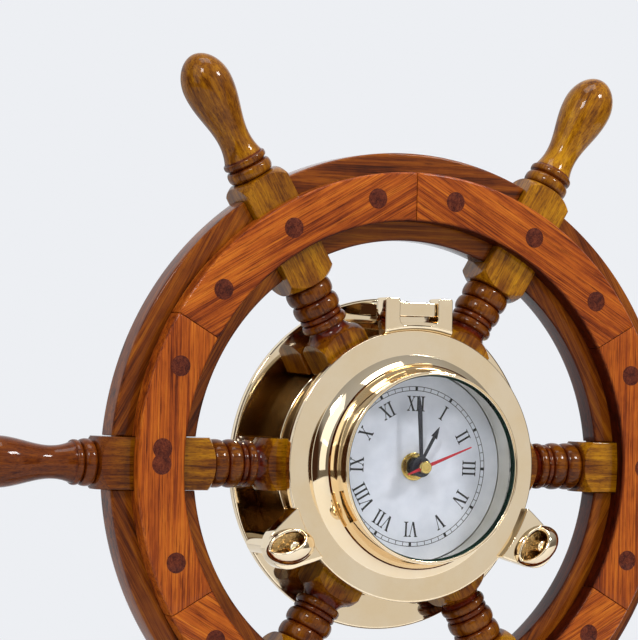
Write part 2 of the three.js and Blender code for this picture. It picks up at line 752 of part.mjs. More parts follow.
// From the second wheel's pinion to the centre wheel, which carries the minute hand.
function addSlowTrain() {
  const thirdPhase = meshPhase(teeth.pinion, 0, thirdDirection, teeth.third);
  const third = gearWheel(teeth.third, thirdModule, thirdPhase, thirdLevel)
    .add(pinion(teeth.pinion, centreModule, 0, centreLevel))
    .add(arbor(rearPivot, frontPivot));
  addGear('third_wheel', third, thirdPlace, whitePlastic);

  const centrePhase = meshPhase(teeth.pinion, 0, thirdDirection + Math.PI, teeth.centre);
  const tubeFront = minuteHandRear + handThickness;
  const centre = gearWheel(teeth.centre, centreModule, centrePhase, centreLevel)
    .add(pinion(teeth.cannon, motionModule, 0, motionLevel))
    .add(rod(minuteTubeRadius, centreLevel, tubeFront))
    .subtract(rod(arborRadius + boreClearance, centreLevel - overcut, tubeFront + overcut));
  addGear('centre_wheel', centre, dialCentre, whitePlastic);
}

// From the centre wheel to the hour wheel, with the knob that sets the hands.
function addMotionWork() {
  const motionPhase = meshPhase(teeth.cannon, 0, motionDirection, teeth.motion);
  const motion = gearWheel(teeth.motion, motionModule, motionPhase, motionLevel)
    .add(pinion(teeth.pinion, hourModule, 0, hourLevel))
    .add(arbor(motionLevel, frontPivot));
  addGear('motion_wheel', motion, motionPlace, whitePlastic);

  const hourPhase = meshPhase(teeth.pinion, 0, motionDirection + Math.PI, teeth.hour);
  const tubeFront = hourHandRear + handThickness;
  const hour = gearWheel(teeth.hour, hourModule, hourPhase, hourLevel)
    .add(rod(hourTubeRadius, hourLevel, tubeFront))
    .subtract(rod(minuteTubeRadius + boreClearance, hourLevel - overcut, tubeFront + overcut));
  addGear('hour_wheel', hour, dialCentre, whitePlastic);

  const settingPhase = meshPhase(teeth.motion, motionPhase, settingDirection, teeth.setting);
  const knobFront = caseRear - gap;
  const setting = pinion(teeth.setting, motionModule, settingPhase, motionLevel)
    .add(rod(settingArborRadius, knobFront - knobThickness / 2, motionLevel))
    .add(rod(knobRadius, knobFront - knobThickness, knobFront));
  addGear('setting_knob', setting, settingPlace, blackPlastic);
}

// Front of the case: a box open to the rear, with a wall above the cell and a threaded bushing in front.
function movementCase() {
  const inner = caseHalfWidth - caseWall;
  const top = caseTop - caseWall;
  const outside = box(-caseHalfWidth, caseHalfWidth, caseBottom, caseTop, caseRear, caseFront);
  const gearRoom = box(-inner, inner, cellWallTop, top, caseRear - overcut, roomFront);
  const cellFloor = caseBottom + caseWall;
  const cellRoom = box(-inner, inner, cellFloor, cellWallTop - caseWall, caseRear - overcut, roomFront);
  let body = outside.subtract(gearRoom).subtract(cellRoom);
  body = body.add(rod(bushingRadius, caseFront - caseWall / 2, bushingFront, dialCentre, fineSides));
  body = body.subtract(rod(hourTubeRadius + boreClearance, roomFront - overcut, bushingFront + overcut));
  const pivotHole = arborRadius + boreClearance;
  for (const place of [thirdPlace, intermediatePlace, rotorPlace, motionPlace]) {
    body = body.subtract(rod(pivotHole, roomFront - overcut, caseFront + overcut, place, arborSides));
  }
  return body;
}

// Back cover let into the gear room, with pivot holes and a hole for the setting arbor.
function movementCover() {
  const half = caseHalfWidth - caseWall - gap;
  let cover = box(-half, half, cellWallTop + gap, caseTop - caseWall - gap, caseRear, coverFront);
  const pivotHole = arborRadius + boreClearance;
  for (const place of [thirdPlace, intermediatePlace, rotorPlace, dialCentre]) {
    cover = cover.subtract(rod(pivotHole, caseRear - overcut, coverFront + overcut, place, arborSides));
  }
  const settingHole = settingArborRadius + boreClearance;
  return cover.subtract(rod(settingHole, caseRear - overcut, coverFront + overcut, settingPlace));
}

function addCell() {
  const cellLevel = roomFront - gap - cellRadius;
  const cellEnd = cellLength / 2;
  const can = crossRod(cellRadius, -cellEnd, cellEnd, cellHeight, cellLevel, fineSides);
  const nub = crossRod(cellNubRadius, 0, cellEnd + cellNubLength, cellHeight, cellLevel);
  addPiece('aa_cell', can.add(nub), cellWrap);
  const outer = caseHalfWidth - caseWall - gap;
  const inner = outer - contactThickness;
  const low = cellHeight - contactWidth / 2;
  const high = cellHeight + contactWidth / 2;
  const contact = (x0, x1) => box(x0, x1, low, high, caseRear + contactInset, roomFront - contactInset);
  addPiece('contact_positive', contact(inner, outer), steel);
  addPiece('contact_negative', contact(-outer, -inner), steel);
}

// Step motor: a coil on one arm of the stator, whose other end rings the rotor's magnet.
function addMotor() {
  const coreHeight = caseTop - caseWall - coilRadius - gap;
  const coreStart = caseWall + coreInset - caseHalfWidth;
  const coilStart = coreStart + coilInset;
  const coilEnd = coilStart + coilLength;
  const coilBore = crossRod(coilBoreRadius, coilStart - overcut, coilEnd + overcut, coreHeight, coreLevel);
  const winding = crossRod(coilRadius, coilStart, coilEnd, coreHeight, coreLevel);
  addPiece('coil', winding.subtract(coilBore), copper);
  const rear = coreLevel - statorThickness / 2;
  const front = coreLevel + statorThickness / 2;
  const halfBar = statorBarWidth / 2;
  const [rotorX, rotorY] = rotorPlace;
  const legEnd = rotorX + statorBarWidth;
  const ringRadius = rotorDistance - arborRadius - statorClearance;
  const holeRadius = magnetRadius + rotorAirGap;
  const stator = box(coreStart, legEnd, coreHeight - halfBar, coreHeight + halfBar, rear, front)
    .add(box(rotorX - statorBarWidth, legEnd, rotorY, coreHeight, rear, front))
    .add(rod(ringRadius, rear, front, rotorPlace, fineSides))
    .subtract(rod(holeRadius, rear - overcut, front + overcut, rotorPlace, fineSides));
  addPiece('stator', stator, steel);
  const boardTop = caseTop - caseWall - boardDrop;
  const boardLeft = caseWall + boardInset - caseHalfWidth;
  const boardRear = coverFront + boardLift;
  addPiece('circuit_board', box(boardLeft, boardLeft + boardWidth, boardTop - boardHeight, boardTop,
    boardRear, boardRear + boardThickness), boardGreen);
}

// A flat hand pointing along +y: a hub with a bore, and a blade drawn by its outline.
function hand(outline, hubRadius, boreRadius, rear) {
  const front = rear + handThickness;
  const blade = slab(new THREE.Shape(outline.map(([x, y]) => new THREE.Vector2(x, y))), rear, front);
  const hub = rod(hubRadius, rear, front, dialCentre, fineSides);
  return blade.add(hub).subtract(rod(boreRadius, rear - overcut, front + overcut));
}

function addHourHand() {
  const stem = hourStemWidth / 2;
  const half = hourHandWidth / 2;
  const head = hourHandLength - hourHandHead;
  const outline = [
    [-stem, 0], [stem, 0], [stem, head], [half, head + hourHandBarb],
    [0, hourHandLength], [-half, head + hourHandBarb], [-stem, head],
  ];
  const solid = hand(outline, hourHubRadius, hourTubeRadius + boreClearance, hourHandRear);
  addPiece('hour_hand', solid, blackPaint, -hourHandAngle);
}

function addMinuteHand() {
  const stem = minuteStemWidth / 2;
  const half = minuteHandWidth / 2;
  const outline = [
    [-stem, 0], [stem, 0], [half, minuteHandBelly], [0, minuteHandLength], [-half, minuteHandBelly],
  ];
  const solid = hand(outline, minuteHubRadius, minuteTubeRadius + boreClearance, minuteHandRear);
  addPiece('minute_hand', solid, blackPaint, -minuteHandAngle);
}

// The second hand's hub is closed in front by a round cap.
function addSecondHand() {
  const half = secondHandWidth / 2;
  const tip = secondTipWidth / 2;
  const outline = [
    [-half, -secondHandTail], [half, -secondHandTail], [tip, secondHandLength], [-tip, secondHandLength],
  ];
  const handFront = secondHandRear + handThickness;
  const boreRadius = arborRadius + boreClearance;
  const cap = rod(secondHubRadius, secondHandRear + handThickness / 2, secondCapFront, dialCentre, fineSides);
  const solid = hand(outline, secondHubRadius, boreRadius, secondHandRear)
    .add(cap)
    .subtract(rod(boreRadius, secondHandRear - overcut, handFront + gap));
  addPiece('second_hand', solid, redPaint, -secondHandAngle);
}

addWheel();
addPorthole();
addDial();
addPiece('movement_case', movementCase(), blackPlastic);
addPiece('movement_cover', movementCover(), blackPlastic);
addCell();
addMotor();
addFastTrain();
addSlowTrain();
addMotionWork();
addHourHand();
addMinuteHand();
addSecondHand();

export default group;
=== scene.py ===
import math

import bmesh
import bpy
import numpy as np
from mathutils import Matrix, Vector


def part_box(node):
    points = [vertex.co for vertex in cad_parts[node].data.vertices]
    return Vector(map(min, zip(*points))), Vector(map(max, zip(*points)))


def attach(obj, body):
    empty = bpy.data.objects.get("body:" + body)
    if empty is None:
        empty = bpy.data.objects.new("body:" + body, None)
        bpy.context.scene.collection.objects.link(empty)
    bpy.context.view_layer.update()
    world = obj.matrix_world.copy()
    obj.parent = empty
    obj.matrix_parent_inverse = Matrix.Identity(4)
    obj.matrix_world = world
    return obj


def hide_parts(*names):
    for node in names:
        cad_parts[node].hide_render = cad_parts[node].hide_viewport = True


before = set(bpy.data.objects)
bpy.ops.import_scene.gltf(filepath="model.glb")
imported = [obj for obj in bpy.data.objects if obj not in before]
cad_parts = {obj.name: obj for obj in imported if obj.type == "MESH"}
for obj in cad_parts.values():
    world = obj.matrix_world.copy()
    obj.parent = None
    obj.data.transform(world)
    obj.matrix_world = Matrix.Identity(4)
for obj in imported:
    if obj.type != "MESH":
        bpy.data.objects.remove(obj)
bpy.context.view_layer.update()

mm = 0.001
fullTurn, quarterTurn = 2 * math.pi, math.pi / 2
creaseDegrees = 35.0  # edges sharper than this stay sharp
black, white = (0.0, 0.0, 0.0), (1.0, 1.0, 1.0)
spokeAngles = np.radians([60.0, 0.0, -60.0, -120.0, 180.0, 120.0])
felloeAngles = np.radians([90.0, 30.0, -30.0, -90.0, -150.0, 150.0])


# A node's rear and front, in millimetres out from the wall.
def levelsOf(name):
    low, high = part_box(name)
    return -high.y / mm, -low.y / mm


# A node's farthest reach to the right of the hub, in millimetres.
def reachOf(name):
    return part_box(name)[1].x / mm


# Drawing coordinates are millimetres across, up and out from the wall; the room has x, -out and up in metres.
def toRoom(points):
    return np.stack([points[:, 0], -points[:, 2], points[:, 1]], axis=-1) * mm


# A mesh's points as rows of x, y and z in the room, in metres.
def pointsOf(mesh):
    points = np.empty(len(mesh.vertices) * 3, np.float32)
    mesh.vertices.foreach_get("co", points)
    return points.reshape(-1, 3)


# Turns a flat drawing about the hub: x cos a - y sin a, x sin a + y cos a.
def spin(flat, angle):
    flat = np.asarray(flat, float)
    x, y = flat[..., 0], flat[..., 1]
    return np.stack([x * np.cos(angle) - y * np.sin(angle), x * np.sin(angle) + y * np.cos(angle)], axis=-1)


# Flat points at radii and angles: r cos a, r sin a.
def onCircle(radius, angle):
    return np.stack([radius * np.cos(angle), radius * np.sin(angle)], axis=-1)


# Flat points lifted to a level, which may be one for all or an array that fits them.
def atLevel(flat, level):
    return np.concatenate([flat, np.broadcast_to(level, flat.shape[:-1])[..., None]], axis=-1)


# A grid of points as quads. Rows and columns can run round into rings, and the end rows can be closed.
def sheet(grid, ringRows=False, ringColumns=True, caps=False, finish=0):
    rows, columns = grid.shape[:2]
    r = np.arange(rows if ringRows else rows - 1)[:, None]
    c = np.arange(columns if ringColumns else columns - 1)[None, :]
    nextRow, nextColumn = (r + 1) % rows, (c + 1) % columns
    quads = np.stack([r * columns + c, r * columns + nextColumn,
                      nextRow * columns + nextColumn, nextRow * columns + c], axis=-1).reshape(-1, 4)
    ends = [np.arange(columns)[::-1], np.arange((rows - 1) * columns, rows * columns)] if caps else []
    return grid.reshape(-1, 3), quads, ends, finish


# Rounds an outline's corners: each is the parabola (1-t)^2 a + 2t(1-t) c + t^2 b, with a and b one reach off
# corner c. A reach stops short of the middle of a side, and points that fall together are dropped.
def rounded(corners, reach, steps=5, mostOfSide=0.49, leastStep=1e-5):
    c = np.asarray(corners, float)
    toLast, toNext = np.roll(c, 1, axis=0) - c, np.roll(c, -1, axis=0) - c
    lastLength = np.linalg.norm(toLast, axis=1, keepdims=True)
    nextLength = np.linalg.norm(toNext, axis=1, keepdims=True)
    cut = np.broadcast_to(np.asarray(reach, float), len(c))[:, None]
    cut = np.minimum(cut, mostOfSide * np.minimum(lastLength, nextLength))
    a, b = c + toLast / lastLength * cut, c + toNext / nextLength * cut
    t = np.linspace(0, 1, steps + 1)[None, :, None]
    curve = ((1 - t) ** 2 * a[:, None] + 2 * t * (1 - t) * c[:, None] + t ** 2 * b[:, None]).reshape(-1, 2)
    return curve[np.linalg.norm(curve - np.roll(curve, 1, axis=0), axis=1) > leastStep]


# A rectangle, anticlockwise from its first corner, with its corners rounded.
def rectangle(left, right, low, high, reach=0.0, steps=5):
    return rounded([(left, low), (right, low), (right, high), (left, high)], reach, steps)


# The inward normals of an anticlockwise outline: the tangent between a point's neighbours, turned left.
def inwards(outline):
    tangent = np.roll(outline, -1, axis=0) - np.roll(outline, 1, axis=0)
    return np.stack([-tangent[:, 1], tangent[:, 0]], axis=-1) / np.linalg.norm(tangent, axis=1, keepdims=True)


# A plate from an outline: straight up from low to high, with a quarter circle in and over at its front edge.
def raised(outline, low, high, edge, steps=4):
    a = np.linspace(0, quarterTurn, steps + 1)
    depth = np.concatenate([[0.0], edge * (1 - np.cos(a))])
    level = np.concatenate([[low], high - np.sign(high - low) * edge * (1 - np.sin(a))])
    flat = outline[None] + depth[:, None, None] * inwards(outline)[None]
    return sheet(atLevel(flat, level[:, None]), caps=True)


# Turns a profile of (radius, level) points round an axis that stands out from the wall at centre.
def lathe(profile, count=96, centre=(0.0, 0.0), closed=False, finish=0):
    profile = np.asarray(profile, float)
    angle = np.linspace(0, fullTurn, count, endpoint=False)[None, :]
    flat = onCircle(profile[:, :1], angle) + np.asarray(centre)
    return sheet(atLevel(flat, profile[:, 1:]), ringRows=closed, finish=finish)


# Turns a profile of (radius, distance) points round an axis along x, at a height and a level.
def crossLathe(profile, height, level, count=48, finish=0):
    profile = np.asarray(profile, float)
    angle = np.linspace(0, fullTurn, count, endpoint=False)[None, :]
    around = onCircle(profile[:, :1], angle) + np.array([height, level])
    along = np.broadcast_to(profile[:, 1:, None], around.shape[:2] + (1,))
    return sheet(np.concatenate([along, around], axis=-1), finish=finish)


# Flat four-cornered marks as thin slabs: each outline once at the low level and once at the high one.
def slabs(marks, low, high):
    marks = np.asarray(marks, float)
    x, y = marks[..., 0], marks[..., 1]
    area = (x * np.roll(y, -1, axis=1) - np.roll(x, -1, axis=1) * y).sum(axis=1)
    marks = np.where((area > 0)[:, None, None], marks, marks[:, ::-1])
    points = atLevel(np.concatenate([marks, marks], axis=1), np.repeat([low, high], 4))
    corners = np.array([[3, 2, 1, 0], [4, 5, 6, 7], [0, 1, 5, 4], [1, 2, 6, 5], [2, 3, 7, 6], [3, 0, 4, 7]])
    quads = (np.arange(len(marks))[:, None, None] * 8 + corners).reshape(-1, 4)
    return points.reshape(-1, 3), quads, [], 0


# Joins sheets into one mesh: doubles merge, normals turn outwards, and edges past the crease stay sharp.
def meshOf(name, sheets, finishes=(), weld=True, crease=creaseDegrees, mergeWithin=1e-6):
    starts = np.cumsum([0] + [len(points) for points, quads, ends, finish in sheets])
    faces, marks = [], []
    for (points, quads, ends, finish), start in zip(sheets, starts):
        faces += (quads + start).tolist() + [(end + start).tolist() for end in ends]
        marks += [finish] * (len(quads) + len(ends))
    mesh = bpy.data.meshes.new(name)
    mesh.from_pydata(toRoom(np.concatenate([s[0] for s in sheets])).tolist(), [], faces)
    mesh.polygons.foreach_set("material_index", np.array(marks, np.int32))
    if weld:
        tidy = bmesh.new()
        tidy.from_mesh(mesh)
        bmesh.ops.remove_doubles(tidy, verts=tidy.verts, dist=mergeWithin)
        bmesh.ops.recalc_face_normals(tidy, faces=tidy.faces)
        tidy.to_mesh(mesh)
        tidy.free()
    sides = np.empty(len(mesh.polygons), np.int32)
    mesh.polygons.foreach_get("loop_total", sides)
    mesh.polygons.foreach_set("use_smooth", sides <= 4)  # end faces stay flat
    mesh.set_sharp_from_angle(angle=math.radians(crease))
    for finish in finishes:
        mesh.materials.append(finish)
    return mesh


# A finished piece: its mesh, the body that it rides on, and the nodes it stands for. Its slot name is not used.
def makePiece(name, sheets, finishes, body, slotName, *nodes, **options):
    piece = bpy.data.objects.new(name, meshOf(name, sheets, finishes, **options))
    bpy.context.scene.collection.objects.link(piece)
    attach(piece, body)
    if nodes:
        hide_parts(*nodes)
    return piece


# Gives the faces of a piece whose middle (x, y, level) and outward direction pass a test another finish.
def refinish(piece, finish, test):
    mesh = piece.data
    middles, facing = np.empty((2, len(mesh.polygons) * 3), np.float32)
    mesh.polygons.foreach_get("center", middles)
    mesh.polygons.foreach_get("normal", facing)
    marks = np.empty(len(mesh.polygons), np.int32)
    mesh.polygons.foreach_get("material_index", marks)
    middles, facing = (part.reshape(-1, 3)[:, [0, 2, 1]] * [1, 1, -1] for part in (middles, facing))
    marks[test(middles / mm, facing)] = len(mesh.materials)
    mesh.materials.append(finish)
    mesh.polygons.foreach_set("material_index", marks)


# Cuts closed sheets out of a piece and keeps the result as its mesh.
def carve(piece, sheets):
    cutter = bpy.data.objects.new("cutter", meshOf("cutter", sheets))
    bpy.context.scene.collection.objects.link(cutter)
    cut = piece.modifiers.new("cut", "BOOLEAN")
    cut.object = cutter
    cut.operation = "DIFFERENCE"
    cut.solver = "EXACT"
    bpy.context.view_layer.update()
    mesh = bpy.data.meshes.new_from_object(piece.evaluated_get(bpy.context.evaluated_depsgraph_get()))
    piece.modifiers.clear()
    piece.data = mesh
    mesh.set_sharp_from_angle(angle=math.radians(creaseDegrees))
    bpy.data.objects.remove(cutter)


# Lays a board's grain over a wooden piece: each point's distance along, across and through the board,
# in metres, moved on by the seed times a step so that no two boards are cut from the same place.
def layGrain(piece, along, across, seed, step=(0.0, 0.417, 0.231)):
    axes = np.array([along, across, np.cross(along, across)])
    grain = pointsOf(piece.data) @ axes.T + np.array(step) * seed
    layer = piece.data.attributes.new("woodGrain", "FLOAT_VECTOR", "POINT")
    layer.data.foreach_set("vector", grain.astype(np.float32).ravel())


# Keeps how much stain and painted shade darken each point of a piece, from 0 to 1.
def keepStainAndShade(piece, stainAndShade):
    layer = piece.data.attributes.new("stainAndPaintedShade", "FLOAT", "POINT")
    layer.data.foreach_set("value", stainAndShade.astype(np.float32))


# A direction in the plane of the wheel, in the room.
def wheelDirection(angle):
    return np.array([math.cos(angle), 0.0, math.sin(angle)])


# Screen colour 0 to 255 to the linear value that a shader takes.
def tone(red, green, blue):
    c = np.array([red, green, blue]) / 255
    return tuple(np.where(c <= 0.04045, c / 12.92, ((c + 0.055) / 1.055) ** 2.4).tolist())


# A new material with its node tree and its shader.
def newFinish(name):
    finish = bpy.data.materials.new(name)
    finish.use_nodes = True
    return finish, finish.node_tree, finish.node_tree.nodes["Principled BSDF"]


# Sets a shader's plain values by name.
def setShader(shader, **values):
    for key, value in values.items():
        shader.inputs[key.replace("_", " ")].default_value = value


# A node with its inputs: a socket is linked, anything else is set.
def addNode(tree, kind, inputs=None, **settings):
    made = tree.nodes.new(kind)
    for key, value in settings.items():
        setattr(made, key, value)
    for key, value in (inputs or {}).items():
        if isinstance(value, bpy.types.NodeSocket):
            tree.links.new(value, made.inputs[key])
        else:
            made.inputs[key].default_value = value
    return made


# A colour that runs through its stops as the factor rises.
def ramp(tree, factor, stops):
    made = addNode(tree, "ShaderNodeValToRGB", {"Fac": factor})
    elements = made.color_ramp.elements
    elements[0].position, elements[0].color = stops[0][0], (*stops[0][1], 1.0)
    elements[1].position, elements[1].color = stops[-1][0], (*stops[-1][1], 1.0)
    for position, colour in stops[1:-1]:
        elements.new(position).color = (*colour, 1.0)
    return made.outputs["Color"]


# One sum or product of two values.
def calc(tree, operation, a, b):
    return addNode(tree, "ShaderNodeMath", {0: a, 1: b}, operation=operation).outputs[0]


# Two colours blended: a + factor (b - a), or a times b by the factor.
def blendColours(tree, factor, a, b, mode="MIX"):
    a, b = ((*c, 1.0) if isinstance(c, tuple) else c for c in (a, b))
    return addNode(tree, "ShaderNodeMix", {0: factor, 6: a, 7: b}, data_type="RGBA", blend_type=mode).outputs[2]


# A value from 0 to 1 spread evenly between low and high.
def spread(tree, value, low, high):
    return addNode(tree, "ShaderNodeMapRange", {"Value": value, "To Min": low, "To Max": high}).outputs[0]


# Fractal noise: octaves that each weigh the last one's share of roughness, bent by their own distortion.
def noise(tree, vector, scale, detail=3.0, roughness=0.55, bend=0.0):
    return addNode(tree, "ShaderNodeTexNoise", {"Vector": vector, "Scale": scale, "Detail": detail,
                                                "Roughness": roughness, "Distortion": bend}).outputs["Fac"]


# The point's own place on its piece.
def objectPlace(tree):
    return addNode(tree, "ShaderNodeTexCoord").outputs["Object"]


# A normal tilted by the slope of a height.
def bumped(tree, height, strength, distance):
    return addNode(tree, "ShaderNodeBump",
                   {"Height": height, "Strength": strength, "Distance": distance}).outputs["Normal"]


# What all the varnished woods share: weights of the patterns, where colours change, and the surface's feel.
woodSettings = {
    "figureShare": 0.38, "streakShare": 0.44, "cloudShare": 0.18, "tones": ("dark", "middle", "light", "pale"),
    "toneStops": (0.39, 0.46, 0.53, 0.61), "poreStops": (0.38, 0.47), "poreTone": (0.26, 0.17, 0.12),
    "roughness": (0.38, 0.56), "streakRelief": 0.5, "relief": 0.25, "reliefDepth": 0.0003,
    "waves": (30.0, 90.0), "wave": 0.16, "waveDepth": 0.0006, "specular": 0.05}


# Varnished hardwood: broad figure, long streaks and short dark pores along the grain, cloudy where it is
# turned, darker where stain and painted shade are kept on the piece, all under a clear coat.
def varnishedWood(name, settings):
    w = woodSettings
    finish, tree, shader = newFinish(name)
    grain = addNode(tree, "ShaderNodeAttribute", attribute_name="woodGrain").outputs["Vector"]

    # The grain stretched: one scale along it and another across.
    def laid(along, across):
        return addNode(tree, "ShaderNodeMapping",
                       {"Vector": grain, "Scale": (along, across, across)}).outputs["Vector"]

    figure = noise(tree, laid(*settings["figure"]), 1.0, detail=4.0, roughness=0.62, bend=0.9)
    streaks = noise(tree, laid(*settings["streaks"]), 1.0, detail=5.0, roughness=0.68, bend=0.4)
    clouds = noise(tree, grain, settings["clouds"], detail=4.0, roughness=0.62, bend=0.3)
    pores = noise(tree, laid(*settings["poreSize"]), 1.0, detail=3.0, roughness=0.6)
    mixed = calc(tree, "ADD", calc(tree, "MULTIPLY", figure, w["figureShare"]),
                 calc(tree, "MULTIPLY", streaks, w["streakShare"]))
    mixed = calc(tree, "ADD", mixed, calc(tree, "MULTIPLY", clouds, w["cloudShare"]))
    colour = ramp(tree, mixed, [(stop, settings[key]) for stop, key in zip(w["toneStops"], w["tones"])])
    fleck = ramp(tree, pores, [*zip(w["poreStops"], (w["poreTone"], white))])
    colour = blendColours(tree, settings["pores"], colour, fleck, "MULTIPLY")
    # The stain and painted shade kept on each point multiply the colour by a tone and thin the clear coat.
    stainAndShade = addNode(tree, "ShaderNodeAttribute", attribute_name="stainAndPaintedShade").outputs["Fac"]
    colour = blendColours(tree, stainAndShade, colour, blendColours(tree, 1.0, colour, settings["stainAndShade"], "MULTIPLY"))
    tree.links.new(colour, shader.inputs["Base Color"])
    tree.links.new(spread(tree, streaks, *w["roughness"]), shader.inputs["Roughness"])
    height = calc(tree, "ADD", calc(tree, "MULTIPLY", streaks, w["streakRelief"]), pores)
    tree.links.new(bumped(tree, height, w["relief"], w["reliefDepth"]), shader.inputs["Normal"])
    waves = noise(tree, laid(*w["waves"]), 1.0, detail=3.0)
    tree.links.new(bumped(tree, waves, w["wave"], w["waveDepth"]), shader.inputs["Coat Normal"])
    tree.links.new(spread(tree, stainAndShade, 1.0, settings["stainAndShadeCoat"]), shader.inputs["Coat Weight"])
    setShader(shader, Specular_IOR_Level=w["specular"], Coat_Roughness=settings["gloss"],
              Coat_IOR=settings["coat"])
    return finish


# Polished brass: faint warm clouds in the colour, smears in the polish, and a slight swell in the surface.
def polishedBrass(name, settings):
    finish, tree, shader = newFinish(name)
    place = objectPlace(tree)
    clouds = noise(tree, place, 34.0, detail=4.0, roughness=0.6)
    colour = ramp(tree, clouds, [(0.34, settings["warm"]), (0.62, settings["bright"])])
    tree.links.new(colour, shader.inputs["Base Color"])
    smears = noise(tree, place, 120.0, detail=5.0, roughness=0.7, bend=0.6)
    tree.links.new(spread(tree, smears, *settings["polish"]), shader.inputs["Roughness"])
    swell = noise(tree, place, settings["swellScale"], detail=3.0)
    tree.links.new(bumped(tree, swell, settings["swell"], distance=0.0008), shader.inputs["Normal"])
    setShader(shader, Metallic=1.0)
    return finish


# Paint, print or plastic: a colour that drifts a little, with fine grain in its gloss and surface.
def mouldedFinish(name, settings):
    finish, tree, shader = newFinish(name)
    place = objectPlace(tree)
    drift = noise(tree, place, settings["grain"] * 0.1, detail=3.0)
    colour = ramp(tree, drift, [(0.35, settings["dark"]), (0.65, settings["light"])])
    tree.links.new(colour, shader.inputs["Base Color"])
    fine = noise(tree, place, settings["grain"], detail=2.0)
    tree.links.new(spread(tree, fine, *settings["polish"]), shader.inputs["Roughness"])
    tree.links.new(bumped(tree, fine, settings["relief"], distance=0.0001), shader.inputs["Normal"])
    setShader(shader, Metallic=settings.get("metal", 0.0))
    return finish


# Clear plate glass: only its reflections show, stronger towards grazing angles; light passes straight through.
def clearGlass(name, settings):
    finish, tree, shader = newFinish(name)
    fresnel = addNode(tree, "ShaderNodeFresnel", {"IOR": settings["bending"]}).outputs["Fac"]
    smudge = noise(tree, objectPlace(tree), settings["smudgeScale"], detail=4.0)
    tree.links.new(spread(tree, smudge, *settings["polish"]), shader.inputs["Roughness"])
    tree.links.new(fresnel, shader.inputs["Alpha"])
    setShader(shader, Base_Color=(*settings["tint"], 1.0), Metallic=1.0)
    return finish


# A dry cell's sleeve: bands of colour along its length, with scuffs over them.
def cellSleeve(name, low, high, settings):
    finish, tree, shader = newFinish(name)
    place = objectPlace(tree)
    along = addNode(tree, "ShaderNodeSeparateXYZ", {"Vector": place}).outputs["X"]
    share = addNode(tree, "ShaderNodeMapRange",
                    {"Value": along, "From Min": low * mm, "From Max": high * mm}).outputs[0]
    scuffs = noise(tree, place, settings["scuffScale"], detail=4.0)
    scuffTone = ramp(tree, scuffs, settings["scuffTones"])
    colour = blendColours(tree, settings["scuff"], ramp(tree, share, settings["bands"]), scuffTone, "MULTIPLY")
    tree.links.new(colour, shader.inputs["Base Color"])
    tree.links.new(spread(tree, scuffs, *settings["polish"]), shader.inputs["Roughness"])
    setShader(shader, Metallic=settings["metal"])
    return finish


# Each wood has a tone that multiplies its colour where stain and painted shade are kept, and a share of clear
# coat left there: painted shade on the inside faces of facings and felloes, stain and painted shade on the
# spokes.
facingWood = varnishedWood("facingWood", {
    "dark": tone(70, 22, 5), "middle": tone(127, 54, 13), "light": tone(162, 79, 19),
    "pale": tone(186, 104, 28), "figure": (5.0, 150.0), "streaks": (10.0, 980.0), "clouds": 40.0,
    "poreSize": (60.0, 2300.0), "pores": 0.75,
    "stainAndShade": (0.14, 0.06, 0.06), "stainAndShadeCoat": 0.2, "gloss": 0.08, "coat": 1.2})
felloeWood = varnishedWood("felloeWood", {
    "dark": tone(54, 20, 2), "middle": tone(96, 42, 4), "light": tone(124, 62, 8), "pale": tone(148, 84, 14),
    "figure": (5.0, 100.0), "streaks": (10.0, 560.0), "clouds": 35.0, "poreSize": (70.0, 2200.0), "pores": 0.55,
    "stainAndShade": (0.34, 0.2, 0.18), "stainAndShadeCoat": 1.0, "gloss": 0.09, "coat": 1.22})
spokeWood = varnishedWood("spokeWood", {
    "dark": tone(80, 40, 3), "middle": tone(122, 72, 4), "light": tone(150, 97, 5), "pale": tone(174, 121, 10),
    "figure": (12.0, 70.0), "streaks": (40.0, 700.0), "clouds": 120.0, "poreSize": (300.0, 1800.0),
    "pores": 0.5, "stainAndShade": (0.27, 0.055, 0.06), "stainAndShadeCoat": 1.0, "gloss": 0.05, "coat": 1.25})
plugWood = varnishedWood("plugWood", {
    "dark": tone(48, 16, 9), "middle": tone(70, 26, 14), "light": tone(88, 36, 19), "pale": tone(106, 48, 26),
    "figure": (60.0, 260.0), "streaks": (60.0, 900.0), "clouds": 300.0, "poreSize": (300.0, 2400.0),
    "pores": 0.7, "stainAndShade": (0.5, 0.4, 0.4), "stainAndShadeCoat": 1.0, "gloss": 0.12, "coat": 1.2})
brass = polishedBrass("brass", {
    "bright": (0.89, 0.75, 0.54), "warm": (0.87, 0.70, 0.46), "polish": (0.02, 0.08), "swell": 0.02,
    "swellScale": 26.0})
# A darker, duller copy of the brass: painted shade on the barrel's walls and the lid's rear faces.
shadedBrass = polishedBrass("shadedBrass", {
    "bright": (0.30, 0.19, 0.07), "warm": (0.17, 0.09, 0.03), "polish": (0.16, 0.3), "swell": 0.2,
    "swellScale": 160.0})
castBrass = polishedBrass("castBrass", {
    "bright": (0.56, 0.37, 0.15), "warm": (0.26, 0.14, 0.05), "polish": (0.12, 0.34), "swell": 0.9,
    "swellScale": 330.0})
innerBrass = polishedBrass("innerBrass", {
    "bright": (0.80, 0.77, 0.68), "warm": (0.74, 0.69, 0.56), "polish": (0.03, 0.10), "swell": 0.01,
    "swellScale": 20.0})
goldPlate = polishedBrass("goldPlate", {
    "bright": (0.84, 0.66, 0.24), "warm": (0.70, 0.50, 0.14), "polish": (0.16, 0.3), "swell": 0.05,
    "swellScale": 300.0})
steel = polishedBrass("steel", {
    "bright": (0.62, 0.62, 0.60), "warm": (0.46, 0.46, 0.46), "polish": (0.22, 0.42), "swell": 0.06,
    "swellScale": 300.0})
copperWire = polishedBrass("copperWire", {
    "bright": (0.83, 0.36, 0.16), "warm": (0.62, 0.22, 0.09), "polish": (0.2, 0.35), "swell": 0.4,
    "swellScale": 2400.0})
